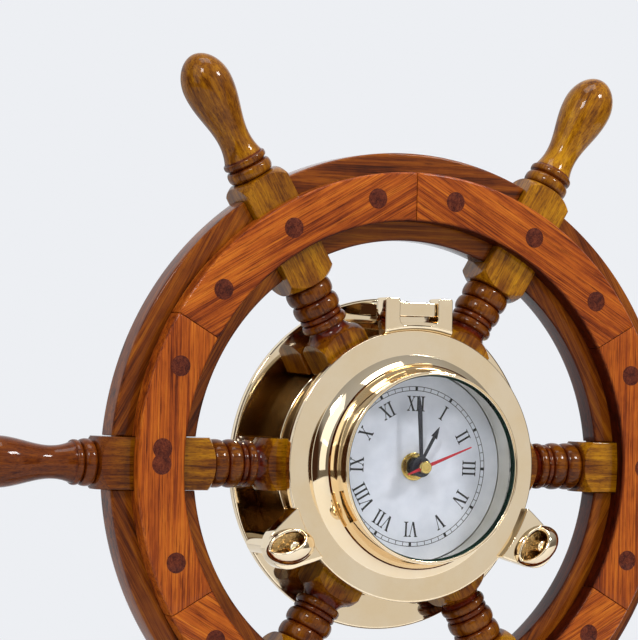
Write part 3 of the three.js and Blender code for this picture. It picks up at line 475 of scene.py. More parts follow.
plateGlass = clearGlass("plateGlass", {
    "tint": (0.95, 0.98, 0.97), "bending": 1.22, "smudgeScale": 55.0, "polish": (0.0, 0.03)})
glassEdge = mouldedFinish("glassEdge", {
    "dark": tone(14, 30, 24), "light": tone(32, 62, 50), "grain": 400.0, "polish": (0.05, 0.15), "relief": 0.1})
dialSilver = mouldedFinish("dialSilver", {
    "dark": tone(220, 226, 238), "light": tone(232, 237, 248), "grain": 900.0, "polish": (0.34, 0.46),
    "relief": 0.05, "metal": 0.12})
dialInk = mouldedFinish("dialInk", {
    "dark": tone(14, 14, 17), "light": tone(26, 26, 30), "grain": 2600.0, "polish": (0.4, 0.6), "relief": 0.2})
blackPaint = mouldedFinish("blackPaint", {
    "dark": tone(22, 23, 32), "light": tone(40, 42, 54), "grain": 1400.0, "polish": (0.3, 0.45), "relief": 0.1})
redPaint = mouldedFinish("redPaint", {
    "dark": tone(178, 18, 36), "light": tone(206, 34, 52), "grain": 1200.0, "polish": (0.3, 0.42),
    "relief": 0.1})
blackPlastic = mouldedFinish("blackPlastic", {
    "dark": tone(20, 20, 22), "light": tone(36, 36, 38), "grain": 1600.0, "polish": (0.42, 0.6), "relief": 0.5})
whitePlastic = mouldedFinish("whitePlastic", {
    "dark": tone(212, 210, 202), "light": tone(232, 230, 224), "grain": 1100.0, "polish": (0.4, 0.55),
    "relief": 0.35})
boardGreen = mouldedFinish("boardGreen", {
    "dark": tone(18, 74, 40), "light": tone(36, 104, 58), "grain": 700.0, "polish": (0.3, 0.45), "relief": 0.3})
print("finishes ready:", len(bpy.data.materials))


# Stains are each spoke's own, at the hub and at the tip.
spokeSettings = {
    "endLength": 0.8, "endShare": 0.95, "hubBlock": 17.0, "flareLength": 4.0, "flareFoot": 0.3,
    "beads": [(4.6, 11.6), (3.0, 10.9), (7.6, 11.9), (8.3, 11.9)], "beadPower": 2.4, "rimBlock": 59.4,
    "grooveRadius": 9.2, "shoulderLength": 6.4, "shoulderRadius": 12.3, "shoulderPower": 1.25,
    "shoulderSpan": 1.46, "ringGap": 0.7, "ringLength": 6.2, "ringRadius": 11.5, "lipGap": 0.9,
    "lipLength": 3.2, "lipRadius": 11.0, "lipDrop": 1.0, "coveLength": 10.4, "covePower": 2.2,
    "neckRadius": 8.0, "swellPower": 0.92, "handleRadius": 12.5, "handleFromTip": 17.0, "nosePower": 1.9,
    "aroundPoints": 112, "cornerPull": 0.16,
    "cornerPower": 34.0, "crease": 30.0, "grainSeed": 1.3,
    "stains": [(0.05, 0.0), (0.1, 0.3), (0.1, 0.25), (0.1, 0.3), (0.0, 0.85), (0.2, 0.3)]}
spokeLow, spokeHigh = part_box("spoke_2")
spokeStart, spokeTip = spokeLow.x / mm, spokeHigh.x / mm
blockHalf = (spokeHigh.z - spokeLow.z) / 2 / mm
blockRear, blockFront = levelsOf("spoke_2")
spokeLevel = (blockRear + blockFront) / 2
hubBlockEnd = spokeStart + spokeSettings["hubBlock"]
rimBlockStart = hubBlockEnd + spokeSettings["flareLength"] + sum(length for length, r in spokeSettings["beads"])
rimBlockEnd = rimBlockStart + spokeSettings["rimBlock"]


# A turned bead: floor + (radius - floor) (1 - |2u - 1|^p)^(1/p), with its points closest at both feet.
def bead(begin, length, radius, floor, power):
    u = 0.5 - 0.5 * np.cos(np.linspace(0, math.pi, 19))
    swell = np.maximum(0, 1 - np.abs(2 * u - 1) ** power) ** (1 / power)
    return begin + length * u, floor + (radius - floor) * swell


# Lengths of a turning, each a pair of distances and radii, put end to end.
def endToEnd(parts):
    return tuple(np.concatenate(column) for column in zip(*parts))


# The turned length between the hub block and the rim block: a flare that falls as (1 - t)^2, and four beads.
def innerTurning(s):
    t = np.linspace(0, 1, 13)
    foot = s["grooveRadius"] + s["flareFoot"]
    parts = [(hubBlockEnd + s["flareLength"] * t, foot + (s["shoulderRadius"] - foot) * (1 - t) ** 2)]
    begin = hubBlockEnd + s["flareLength"]
    for length, radius in s["beads"]:
        parts.append(bead(begin, length, radius, s["grooveRadius"], s["beadPower"]))
        begin += length
    return endToEnd(parts)


# The turned length outside the rim: ring, lip, a cove that falls as a power of 1 - t, a cosine swell, and
# a nose (1 - q^2)^(1/n).
def outerTurning(s):
    t = np.linspace(0, 1, 21)
    ringStart = rimBlockEnd + s["ringGap"]
    lipStart = ringStart + s["ringLength"] + s["lipGap"]
    coveStart = lipStart + s["lipLength"]
    lipFoot = s["lipRadius"] - s["lipDrop"]
    neck = coveStart + s["coveLength"]
    swellEnd = spokeTip - s["handleFromTip"]
    cove = (1 - t) ** s["covePower"]
    swell = 0.5 - 0.5 * np.cos(math.pi * t ** s["swellPower"])
    quarter = np.sin(t * quarterTurn)
    nose = np.maximum(0, 1 - quarter ** 2) ** (1 / s["nosePower"])
    return endToEnd([
        bead(ringStart, s["ringLength"], s["ringRadius"], s["grooveRadius"], s["beadPower"]),
        bead(lipStart, s["lipLength"], s["lipRadius"], lipFoot, s["beadPower"]),
        (coveStart + s["coveLength"] * t, s["neckRadius"] + (lipFoot - s["neckRadius"]) * cove),
        (neck + (swellEnd - neck) * t, s["neckRadius"] + (s["handleRadius"] - s["neckRadius"]) * swell),
        (swellEnd + s["handleFromTip"] * quarter, s["handleRadius"] * nose)])


# A block's turned shoulder: from the stock's radius r down to the shoulder's rs, at a share of its length
# (1 - ((r - rs) / (rc - rs))^p)^(1/p), rc past the corner, so each flat ends in an arch. Rows run outwards.
def shoulderRows(square, s):
    least, power = s["shoulderRadius"], s["shoulderPower"]
    radius = least + (square[None] - least) * np.linspace(1, 0, 11)[:, None]
    share = (1 - ((radius - least) / (blockHalf * s["shoulderSpan"] - least)) ** power) ** (1 / power)
    return s["shoulderLength"] * (share - 1), radius


# A spoke, row by row from the hub: square stock, half / (|cos|^n + |sin|^n)^(1/n), and turned lengths between.
def spokeSheet(angle, s):
    t = np.linspace(0, fullTurn, s["aroundPoints"], endpoint=False)
    around = t + s["cornerPull"] * np.sin(4 * t)
    power = s["cornerPower"]
    square = blockHalf / (np.abs(np.cos(around)) ** power + np.abs(np.sin(around)) ** power) ** (1 / power)
    back, radius = shoulderRows(square, s)
    between = np.array([0.25, 0.5, 0.75])[:, None]

    # Rows of square stock between two ends.
    def flats(begin, end):
        return begin + (end - begin) * between, np.broadcast_to(square[None], (len(between), len(square)))

    # A turned profile as rows, the same all round.
    def turned(profile):
        return tuple(np.broadcast_to(part[:, None], (len(part), len(square))) for part in profile)

    whole = np.ones_like(square)[None]
    begin = (spokeStart + s["endLength"]) * whole
    along, radius = endToEnd([
        (spokeStart * whole, square[None] * s["endShare"]), (begin, square[None]),
        flats(begin, hubBlockEnd + back[:1]), (hubBlockEnd + back, radius),
        turned(innerTurning(s)), (rimBlockStart - back[::-1], radius[::-1]),
        flats(rimBlockStart - back[:1], rimBlockEnd + back[:1]), (rimBlockEnd + back, radius),
        turned(outerTurning(s))])
    flat = spin(np.stack([along, radius * np.cos(around)[None]], axis=-1), angle)
    points, quads, ends, finish = sheet(atLevel(flat, spokeLevel + radius * np.sin(around)[None]))
    return points, quads, [np.arange(s["aroundPoints"])[::-1]], finish


# Where stain and painted shade darken a spoke, and how much: a least share and what a groove's depth adds as
# painted shade.
turnedStainAndShade = {
    "grooveTop": 11.8, "grooveDepth": 1.6, "beforeBeads": 4.5, "afterBeads": 0.4, "beadReach": 15.5,
    "beforeCollars": 0.6, "collarLength": 12.0, "beads": (0.7, 0.3), "collars": (0.3, 0.6)}


# How far stain and painted shade darken a spoke: its own stain, which changes from hub to tip, more along the
# beads and collars as stain and painted shade, and most in the grooves as painted shade.
def stainAndShadeSpoke(piece, angle, stain, s):
    points = pointsOf(piece.data) / mm
    along = points @ wheelDirection(angle)
    radius = np.hypot(points @ wheelDirection(angle + quarterTurn), points[:, 1] + spokeLevel)
    depth = np.clip((s["grooveTop"] - radius) / s["grooveDepth"], 0, 1)
    beaded = (along > hubBlockEnd - s["beforeBeads"]) & (along < rimBlockStart + s["afterBeads"])
    beaded &= radius < s["beadReach"]
    collared = (along > rimBlockEnd - s["beforeCollars"]) & (along < rimBlockEnd + s["collarLength"])
    onBeads, onCollars = (s[key][0] + s[key][1] * depth for key in ("beads", "collars"))
    stainAndShade = np.where(beaded, onBeads, np.where(collared, onCollars, 0.0))
    outwards = np.clip((along - rimBlockStart) / (rimBlockEnd - rimBlockStart), 0, 1)
    keepStainAndShade(piece, np.maximum(stainAndShade, stain[0] + (stain[1] - stain[0]) * outwards))


for index, angle in enumerate(spokeAngles):
    spoke = makePiece(f"turnedSpoke_{index + 1}", [spokeSheet(angle, spokeSettings)], [spokeWood], "clock",
                      "spoke_wood", f"spoke_{index + 1}", crease=spokeSettings["crease"])
    layGrain(spoke, wheelDirection(angle), (0.0, -1.0, 0.0), index + spokeSettings["grainSeed"])
    # Stain along the spoke, and painted shade in its grooves.
    stainAndShadeSpoke(spoke, angle, spokeSettings["stains"][index], turnedStainAndShade)
print("spokes turned:", len(spokeAngles))


# The rim's boards darken their inside faces with painted shade, to a depth given here.
rimSettings = {
    "felloeInner": 111.608, "facingInner": 121.008, "felloeRearEdges": [5.0, 3.6], "felloeEdge": 1.5,
    "facingEdge": 1.5, "facingRearEdge": 0.8, "endEdge": 0.35, "gap": 0.3, "arcRows": 40, "insideShadeDepth": 1.6,
    "plugRadius": 5.0, "plugTurn": 20.7, "plugProud": 0.4, "plugDome": 0.3, "plugSunk": 1.2, "plugStep": 0.02,
    "extraPlugs": {4: [-3.2]}, "notchOver": 8.0, "notchThrough": 4.0, "hangerFacings": (0, 5),
    "hangerHalf": 23.3, "hangerRise": 8.8, "hangerDepth": 2.2, "hangerCorner": 1.5, "pocketThrough": 3.0,
    "nailRadius": 6.6, "nailDepth": 7.0, "nailDrop": 3.0,
    "grainSeeds": {"felloe": 9.7, "front": 17.1, "rear": 24.5, "plugs": 31.9}}
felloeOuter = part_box("felloe_1")[1].z / mm
felloeInner, facingInner = rimSettings["felloeInner"], rimSettings["facingInner"]
facingOuter = reachOf("front_facing_2")
facingMiddle = (facingInner + facingOuter) / 2
facingRear, facingFront = levelsOf("front_facing_2")
facingFront = facingFront - rimSettings["plugProud"]
rearFacingRear, rearFacingFront = levelsOf("rear_facing_2")
felloeSection = rectangle(felloeInner, felloeOuter, *levelsOf("felloe_1"),
                          rimSettings["felloeRearEdges"] + [rimSettings["felloeEdge"]] * 2)
frontSection = rectangle(facingInner, facingOuter, facingRear, facingFront,
                         [rimSettings["facingRearEdge"]] * 2 + [rimSettings["facingEdge"]] * 2)
rearSection = rectangle(facingInner, facingOuter, rearFacingRear, rearFacingFront,
                        rimSettings["facingRearEdge"])


# A rim segment: a cross-section carried along the arc. Its angle at radius r runs to half the step less
# asin(setBack / r), and near the ends the section draws in along its normals to round the arris.
def rimSegment(section, centre, setBack, edge, rows):
    b = np.linspace(0, quarterTurn, 4)
    inset = np.concatenate([edge * (1 - np.sin(b)), np.zeros(rows), edge * (1 - np.sin(b[::-1]))])
    pull = np.concatenate([edge * (1 - np.cos(b)), np.full(rows, edge), edge * (1 - np.cos(b[::-1]))])
    share = np.concatenate([-np.ones(len(b)), np.linspace(-1, 1, rows), np.ones(len(b))])
    loops = section[None] + inset[:, None, None] * inwards(section)[None]
    radius = loops[..., 0]
    halfStep = fullTurn / len(spokeAngles) / 2
    limit = halfStep - np.arcsin(setBack / radius) - pull[:, None] / radius
    return sheet(atLevel(onCircle(radius, centre + share[:, None] * limit), loops[..., 1]), caps=True)


# A plug's face: a low dome, level falling with the square of the radius, on a short side wall.
def plugSheet(angle, front, s):
    t = np.linspace(0, 1, 7)
    dome = np.stack([s["plugRadius"] * t, front + s["plugProud"] - s["plugDome"] * t ** 2], axis=-1)
    wall = [(s["plugRadius"], front - s["plugSunk"]), (0.0, front - s["plugSunk"])]
    return lathe(np.concatenate([dome, wall]), 40, onCircle(facingMiddle, angle))


# Painted shade on a rim piece's inside face: full at the inner radius and gone within a short depth.
def paintShadeInside(piece, inner, depth):
    points = pointsOf(piece.data) / mm
    keepStainAndShade(piece, np.clip((inner + depth - np.hypot(points[:, 0], points[:, 2])) / depth, 0, 1))


# The notch that lets a facing sit over a spoke's block, as a box along the spoke.
def blockNotch(angle, low, high, s):
    side, over = blockHalf + s["gap"], s["notchOver"]
    return raised(spin(rectangle(facingInner - over, facingOuter + over, -side, side), angle), low, high, 0.0)


# The pockets behind the top joint, for the hanger's plate and for a nail's head.
def hangerPockets(s):
    pocket = rectangle(-s["hangerHalf"], s["hangerHalf"], facingMiddle - s["hangerRise"],
                       facingMiddle + s["hangerRise"], s["hangerCorner"])
    nail = onCircle(s["nailRadius"], np.linspace(0, fullTurn, 48, endpoint=False))
    nail += np.array([0.0, facingMiddle - s["nailDrop"]])
    return [raised(pocket, -s["pocketThrough"], s["hangerDepth"], 0.0),
            raised(nail, -s["pocketThrough"], s["nailDepth"], 0.0)]


# A board of the rim about an angle: its segment, the cuts in it, its grain along the middle of the arc, and the
# painted shade on its inside face.
def rimBoard(name, node, section, angle, setBack, finish, slotName, cuts, seed, inner):
    segment = rimSegment(section, angle, setBack, rimSettings["endEdge"], rimSettings["arcRows"])
    board = makePiece(name, [segment], [finish], "clock", slotName, node)
    for cut in cuts:
        carve(board, [cut])
    layGrain(board, wheelDirection(angle + quarterTurn), wheelDirection(angle), seed)
    # Painted shade on the board's inside face.
    paintShadeInside(board, inner, rimSettings["insideShadeDepth"])


gap, through, seeds = rimSettings["gap"], rimSettings["notchThrough"], rimSettings["grainSeeds"]
for index, angle in enumerate(felloeAngles):
    rimBoard(f"rimFelloe_{index + 1}", f"felloe_{index + 1}", felloeSection, angle, blockHalf + gap, felloeWood,
             "rim_wood", [], index + seeds["felloe"], felloeInner)
for index, angle in enumerate(spokeAngles):
    frontCuts = [blockNotch(angle, facingRear - through, blockFront + gap, rimSettings)]
    rimBoard(f"frontFacing_{index + 1}", f"front_facing_{index + 1}", frontSection, angle, gap / 2, facingWood,
             "facing_wood", frontCuts, index + seeds["front"], facingInner)
    turns = [-rimSettings["plugTurn"], 0.0, rimSettings["plugTurn"]] + rimSettings["extraPlugs"].get(index, [])
    plugSheets = [plugSheet(angle + math.radians(turn), facingFront - rimSettings["plugStep"] * k, rimSettings)
                  for k, turn in enumerate(turns)]
    plugs = makePiece(f"facingPlugs_{index + 1}", plugSheets, [plugWood], "clock", "facing_wood")
    layGrain(plugs, (0.0, -1.0, 0.0), wheelDirection(angle), index + seeds["plugs"])
    rearCuts = [blockNotch(angle, blockRear - gap, rearFacingFront + through, rimSettings)]
    if index in rimSettings["hangerFacings"]:
        rearCuts += hangerPockets(rimSettings)
    rimBoard(f"rearFacing_{index + 1}", f"rear_facing_{index + 1}", rearSection, angle, gap / 2, facingWood,
             "facing_wood", rearCuts, index + seeds["rear"], facingInner)
print("rim segments laid:", len(felloeAngles) + 2 * len(spokeAngles))


# The last three settings pick the barrel's faces that get the darker copy of the brass as painted shade.
bodySettings = {
    "bore": 53.008, "barrel": 57.008, "ledge": 48.5, "ledgeRear": 26.7, "ledgeFront": 29.7, "lidRear": 34.6,
    "lidGap": 0.3, "plateThickness": 4.0, "dish": 2.1, "sunk": 1.0,
    "edges": [0.5, 0.9, 1.2, 1.6, 0.5, 0.5, 0.3, 0.4, 0.4, 0.4],
    "clampRadius": 78.508, "clampAngles": {"left": 210.0, "right": -30.0}, "clampPostRadius": 5.4,
    "postEdge": 0.6, "knuckleHalf": 10.0, "knuckleLow": 73.9, "knuckleHigh": 80.9, "knuckleCorner": 1.2,
    "knuckleEdge": 0.5, "screwCircle": 66.0, "screwRadius": 3.8, "screwHeight": 0.9, "screwSlot": 0.9,
    "screwTurn": 0.7, "nextScrewTurn": 1.9, "shadeWithin": 57.508, "shadeAbove": 3.0, "shadeFacing": 0.5}
plateRadius = reachOf("porthole_body")
plateRear, knuckleFront = levelsOf("porthole_body")
lidRear, collarFront = bodySettings["lidRear"], levelsOf("porthole_lid")[1]
barrelFront = lidRear - bodySettings["lidGap"]
headSettings = {"inset": 0.1, "discShare": 0.45, "discSunk": 0.8, "discEdge": 0.1, "overlap": 0.2, "edge": 0.25}


# A slotted screw head: a disc, and on it two segments of a circle with the slot between them.
def slottedHead(centre, radius, base, way, height, slot, turnBy, s=headSettings):
    place, inner = np.asarray(centre), radius - s["inset"]
    disc = onCircle(radius, np.linspace(0, fullTurn, 32, endpoint=False))
    begin = math.asin(slot / 2 / inner)
    segment = onCircle(inner, np.linspace(begin, math.pi - begin, 19))
    middle, top = base + way * height * s["discShare"], base + way * height
    return [raised(disc + place, base - way * s["discSunk"], middle, s["discEdge"])] + [
        raised(spin(segment, turnBy + half) + place, middle - way * s["overlap"], top, s["edge"])
        for half in (0.0, math.pi)]


# Where a clamp screw's axis stands: at its radius and its angle.
def clampPlace(side):
    return onCircle(bodySettings["clampRadius"], math.radians(bodySettings["clampAngles"][side]))


# The porthole's body: plate, barrel and ledge as one turned section, with the knuckle and clamp posts on it.
def bodySheets(s):
    plateFront = plateRear + s["plateThickness"]
    root = plateFront - s["sunk"]
    section = [(s["bore"], plateRear), (plateRadius, plateRear), (plateRadius, plateFront),
               (s["barrel"], plateFront - s["dish"]),
               (s["barrel"], barrelFront), (s["bore"], barrelFront), (s["bore"], s["ledgeFront"]),
               (s["ledge"], s["ledgeFront"]), (s["ledge"], s["ledgeRear"]), (s["bore"], s["ledgeRear"])]
    knuckle = rectangle(-s["knuckleHalf"], s["knuckleHalf"], s["knuckleLow"], s["knuckleHigh"],
                        s["knuckleCorner"])
    r, edge = s["clampPostRadius"], s["postEdge"]
    post = [(0.0, root), (r, root), (r, barrelFront - edge), (r - edge, barrelFront), (0.0, barrelFront)]
    return [lathe(rounded(section, s["edges"]), 144, closed=True),
            raised(knuckle, root, knuckleFront, s["knuckleEdge"]),
            *(lathe(post, 48, clampPlace(side)) for side in ("left", "right"))]


# The barrel's walls, which get a darker copy of the brass as painted shade, with a duller polish than the
# plate.
def barrelShadeFaces(middles, facing):
    upright = np.abs(facing[:, 2]) < bodySettings["shadeFacing"]
    inside = np.hypot(middles[:, 0], middles[:, 1]) < bodySettings["shadeWithin"]
    return upright & inside & (middles[:, 2] > plateRear + bodySettings["shadeAbove"])


portholeBody = makePiece("portholeBody", bodySheets(bodySettings), [brass], "clock", "polished_brass",
                         "porthole_body", "porthole_barrel", "barrel_ledge")
# The barrel's walls take the darker copy of the brass as painted shade.
refinish(portholeBody, shadedBrass, barrelShadeFaces)
screwSheets = []
for index, angle in enumerate(spokeAngles):
    spot = onCircle(bodySettings["screwCircle"], angle)
    turnBy = bodySettings["screwTurn"] + bodySettings["nextScrewTurn"] * index
    screwSheets += slottedHead(spot, bodySettings["screwRadius"], plateRear, -1, bodySettings["screwHeight"],
                               bodySettings["screwSlot"], turnBy)
makePiece("plateScrews", screwSheets, [goldPlate], "clock", "polished_brass")
print("porthole body cast")


# The last two settings pick the lid's rear faces that get the darker copy of the brass as painted shade.
lidSettings = {
    "radius": 67.108, "thickness": 5.0, "edge": 1.0, "edgeFlat": 0.2, "rearEdge": 0.5, "collarBase": 55.0,
    "collarTop": 47.1, "collarCurve": 5.0, "collarRoot": (0.6, 0.4), "collarEdge": 0.4, "seatRadius": 46.4,
    "seatLevel": 57.9, "seatThickness": 1.2, "window": 45.308, "lipRadius": 45.5, "lipThickness": 0.45,
    "lipGroove": [(0.95, 0.0), (0.8, 0.3), (0.65, 0.2)], "lipEdge": 0.3, "lipRise": 0.1, "boreGap": 0.2,
    "boreEdge": 0.2, "boreLevel": 41.5, "raisedFront": 43.0, "rootRadius": 66.5,
    "earInner": 10.5, "earOuter": 18.5, "earTop": 83.0, "earRear": 32.0, "earEdge": 0.4, "earCorner": 1.6,
    "slotBottom": 69.5, "slotCorner": 3.6, "footCorner": 1.2, "backLow": 70.6, "backInset": 0.05,
    "backEdge": 0.6, "sunk": 1.0, "rampRadius": 69.2, "rampOver": 0.3, "rampBack": 2.0, "rampDrop": 0.12,
    "rampInset": 0.1, "lugHalf": 13.6, "lugEnd": 11.0, "lugEdge": 0.5, "lugSweep": 1.36, "lugShoulder": 68.6,
    "lugFlare": 0.6,
    "lugSunk": 0.2, "lugCorners": (2.0, 0.6, 1.4), "shadeFacing": -0.7, "shadeBelow": 0.6}


# The lid's ring: rear face, flange, and a hollow collar whose radius is top + (base - top) (1 - u)^curve at
# the share u of its rise, up to a lip that turns in over the glass. The window's wall is a second sheet.
def lidRing(s):
    flangeFront, under = lidRear + s["thickness"], collarFront - s["lipThickness"]
    bore, crownEdge, rim = reachOf("dial") + s["boreGap"], s["collarEdge"], s["lipRadius"]
    u = np.linspace(0, 1, 33) ** 2
    slope = np.stack([s["collarTop"] + (s["collarBase"] - s["collarTop"]) * (1 - u) ** s["collarCurve"],
                      flangeFront + (collarFront - crownEdge - flangeFront) * u], axis=-1)
    flange = [(bore + s["boreEdge"], lidRear), (s["radius"], lidRear), (s["radius"], flangeFront),
              (s["radius"] - s["edge"] - s["edgeFlat"], flangeFront)]
    flange += [(s["collarBase"] + step, flangeFront) for step in s["collarRoot"]]
    turn = np.linspace(0, quarterTurn, 5)
    crown = onCircle(crownEdge, turn) + np.array([s["collarTop"] - crownEdge, collarFront - crownEdge])
    groove = [(rim + across, collarFront - down) for across, down in s["lipGroove"]]
    lip = np.stack([rim + s["lipEdge"] * (1 - np.sin(turn)),
                    collarFront - s["lipEdge"] + s["lipRise"] * np.cos(turn)], axis=-1)
    seat = [(rim, under), (s["seatRadius"], under), (s["seatRadius"], s["seatLevel"]),
            (s["window"], s["seatLevel"])]
    outer = np.concatenate([rounded(flange, [0.0, s["rearEdge"], s["edge"], 0.0, 0.0, 0.0]), slope[:-1], crown,
                            groove, lip, seat])
    wall = [(s["window"], s["seatLevel"]), (s["window"], s["seatLevel"] - s["seatThickness"]),
            (bore, s["boreLevel"]), (bore, lidRear + s["boreEdge"]), (bore + s["boreEdge"], lidRear)]
    return [lathe(outer, 192), lathe(wall, 192, finish=1)]


# The hinge ears: a yoke in front, its two backs round the pin, and a hollow ramp, a quarter of an ellipse,
# from its foot to the flange, carried round the lid's rim.
def earSheets(s):
    o, i, top, slot, inset = s["earOuter"], s["earInner"], s["earTop"], s["slotBottom"], s["backInset"]
    foot = np.linspace(-o, o, 15)
    arc = np.stack([foot, np.sqrt(s["rampRadius"] ** 2 - foot ** 2)], axis=-1)
    corners = np.concatenate([arc, [(o, top), (i, top), (i, slot), (-i, slot), (-i, top), (-o, top)]])
    reach = [s["footCorner"]] + [0.0] * (len(foot) - 2) + [s["footCorner"]] + [s["earCorner"]] * 2 \
        + [s["slotCorner"]] * 2 + [s["earCorner"]] * 2
    sheets = [raised(rounded(corners, reach), lidRear, s["raisedFront"], s["earEdge"])]
    for side in (-1, 1):
        low, high = sorted((side * (i + inset), side * (o - inset)))
        back = rectangle(low, high, s["backLow"], top - inset, s["earCorner"])
        sheets.append(raised(back, lidRear + s["sunk"], s["earRear"], s["backEdge"]))
    t = np.linspace(0, quarterTurn, 9)
    front, root, far = s["raisedFront"] - s["rampDrop"], lidRear + s["sunk"], s["rampRadius"] + s["rampBack"]
    width, rise = s["rampRadius"] + s["rampOver"] - s["rootRadius"], s["raisedFront"] - lidRear - s["thickness"]
    hollow = np.stack([s["rootRadius"] + width * (1 - np.cos(t)), front - rise * (1 - np.sin(t))], axis=-1)
    section = np.concatenate([[(s["rootRadius"], root), (far, root), (far, front)], hollow[::-1]])
    half = np.arcsin((o - s["rampInset"]) / section[:, 0])
    angle = quarterTurn + np.linspace(-1, 1, 25)[:, None] * half[None]
    return sheets + [sheet(atLevel(onCircle(section[None, :, 0], angle), section[None, :, 1]), caps=True)]


# A clamp lug: a tongue from the lid's rim out to a round end, drawn along x and then turned to its place.
def lugSheet(angle, s):
    foot = np.linspace(s["lugHalf"] + s["lugFlare"], -s["lugHalf"] - s["lugFlare"], 13)
    root = np.stack([np.sqrt((s["rootRadius"] - s["lugSunk"]) ** 2 - foot ** 2), foot], axis=-1)
    end = onCircle(s["lugEnd"], np.linspace(-s["lugSweep"], s["lugSweep"], 29))
    end += np.array([bodySettings["clampRadius"], 0.0])
    outline = np.concatenate([[(s["lugShoulder"], -s["lugHalf"])], end, [(s["lugShoulder"], s["lugHalf"])],
                              root])
    shoulder, tip, heel = s["lugCorners"]
    reach = [shoulder] + [tip] * len(end) + [shoulder, heel] + [0.0] * (len(foot) - 2) + [heel]
    return raised(spin(rounded(outline, reach, 3), angle), lidRear, s["raisedFront"], s["lugEdge"])


# The lid's rear faces, which get a darker copy of the brass as painted shade, with a duller polish than its
# front.
def lidShadeFaces(middles, facing):
    return (facing[:, 2] < lidSettings["shadeFacing"]) & (middles[:, 2] < lidRear + lidSettings["shadeBelow"])


lidSheets = lidRing(lidSettings) + earSheets(lidSettings)
lidSheets += [lugSheet(math.radians(a), lidSettings) for a in bodySettings["clampAngles"].values()]
portholeLid = makePiece("portholeLid", lidSheets, [brass, innerBrass], "lid", "polished_brass", "porthole_lid")
# The lid's rear faces take the darker copy of the brass as painted shade.
refinish(portholeLid, shadedBrass, lidShadeFaces)

pinSettings = {"nose": 0.5}
pinLow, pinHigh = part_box("hinge_pin")
pinRadius, pinEnd = (pinHigh.z - pinLow.z) / 2 / mm, pinHigh.x / mm
t = np.linspace(0, quarterTurn, 6)
pinNose = np.stack([pinRadius * np.sin(t), -pinEnd + pinSettings["nose"] * (1 - np.cos(t))], axis=-1)
pinProfile = np.concatenate([pinNose, pinNose[::-1] * [1, -1]])
pinHeight, pinLevel = (pinLow.z + pinHigh.z) / 2 / mm, -(pinLow.y + pinHigh.y) / 2 / mm
makePiece("hingePin", [crossLathe(pinProfile, pinHeight, pinLevel)], [brass],
          "lid", "polished_brass", "hinge_pin")

glassSettings = {"rearRim": 1.5, "frontRim": 0.95, "edge": 0.3, "around": 160}


# The window: a clear disc at the rear and at the front, and between them a ground edge with its chamfers.
def glassSheets(s):
    rear, front = levelsOf("window_glass")
    radius, edge = reachOf("window_glass"), s["edge"]
    rim = [(radius - s["rearRim"], rear), (radius - edge, rear), (radius, rear + edge), (radius, front - edge),
           (radius - edge, front), (radius - s["frontRim"], front)]
    return [lathe([(0.0, rear), rim[0]], s["around"]), lathe(rim, s["around"], finish=1),
            lathe([rim[-1], (0.0, front)], s["around"])]


makePiece("windowGlass", glassSheets(glassSettings), [plateGlass, glassEdge], "lid", "clear_glass",
          "window_glass")
print("lid, pin and glass made")


nutSettings = {
    "halfLength": 12.7, "halfWidth": 8.9, "height": 11.6, "wall": 1.9, "floor": 2.0, "lowest": 2.8,
    "mouthHeight": 10.5, "mouthTilt": 60.0, "mouthTurn": 111.0, "turns": {"left": 11.0, "right": 39.0},
    "floorRings": (0.7, 0.4, 0.0), "crease": 60.0, "studEdge": 0.5}


# A cup nut: an ellipsoid's shell, drawn on the unit sphere as cos p m + sin p (cos q e + sin q f) about the
# mouth's axis m. Its wall runs from the base up to the mouth's circle, no lower than a least rim, and inside
# down to a floor.
def nutSheets(centre, base, turn, s):
    tilt, way = math.radians(s["mouthTilt"]), math.radians(s["mouthTurn"])
    size = np.array([s["halfLength"], s["halfWidth"], s["height"]])
    scaled = size * [math.sin(tilt) * math.cos(way), math.sin(tilt) * math.sin(way), math.cos(tilt)]
    axis = scaled / np.linalg.norm(scaled)
    side = np.cross([0.0, 0.0, 1.0], axis)
    side = side / np.linalg.norm(side)
    q = np.linspace(0, fullTurn, 128, endpoint=False)[:, None]
    outwards = np.cos(q) * side + np.sin(q) * np.cross(axis, side)
    lean, far = np.arctan2(outwards[:, 2], axis[2]), np.hypot(outwards[:, 2], axis[2])

    # The angle from the mouth's axis at which each meridian comes down to a height.
    def downTo(height):
        return lean + np.arccos(np.clip(height / far, -1, 1))

    # The points at that angle on an ellipsoid.
    def ring(p, semiAxes):
        return semiAxes * (np.cos(p)[:, None] * axis + np.sin(p)[:, None] * outwards)

    mouth = math.acos(s["mouthHeight"] * math.cos(tilt) / np.linalg.norm(scaled))
    rim, foot = np.minimum(mouth, downTo(s["lowest"] / s["height"])), downTo(0.0)
    inner = size - s["wall"]
    floor = downTo(s["floor"] / inner[2])
    outer = [ring(foot + (rim - foot) * t, size) for t in np.linspace(0, 1, 25)]
    middle, half = (ring(rim, size) + ring(rim, inner)) / 2, (ring(rim, size) - ring(rim, inner)) / 2
    bulge = size * (np.sin(rim)[:, None] * axis - np.cos(rim)[:, None] * outwards)
    bulge *= s["wall"] / 2 / np.linalg.norm(bulge, axis=1, keepdims=True)
    lip = [middle + half * math.cos(o) + bulge * math.sin(o) for o in np.linspace(0, math.pi, 11)[1:]]
    inside = [ring(rim + (floor - rim) * t, inner) for t in np.linspace(0, 1, 17)]
    inside += [inside[-1] * [k, k, 1.0] for k in s["floorRings"]]

    # Rows turned and moved to the nut's place.
    def placed(rows):
        grid = np.stack(rows)
        return atLevel(spin(grid[..., :2], turn) + np.asarray(centre), grid[..., 2] + base)

    points, quads, ends, finish = sheet(placed(outer + lip))
    return [(points, quads, [np.arange(len(q))[::-1]], finish), sheet(placed(inside), finish=1)]


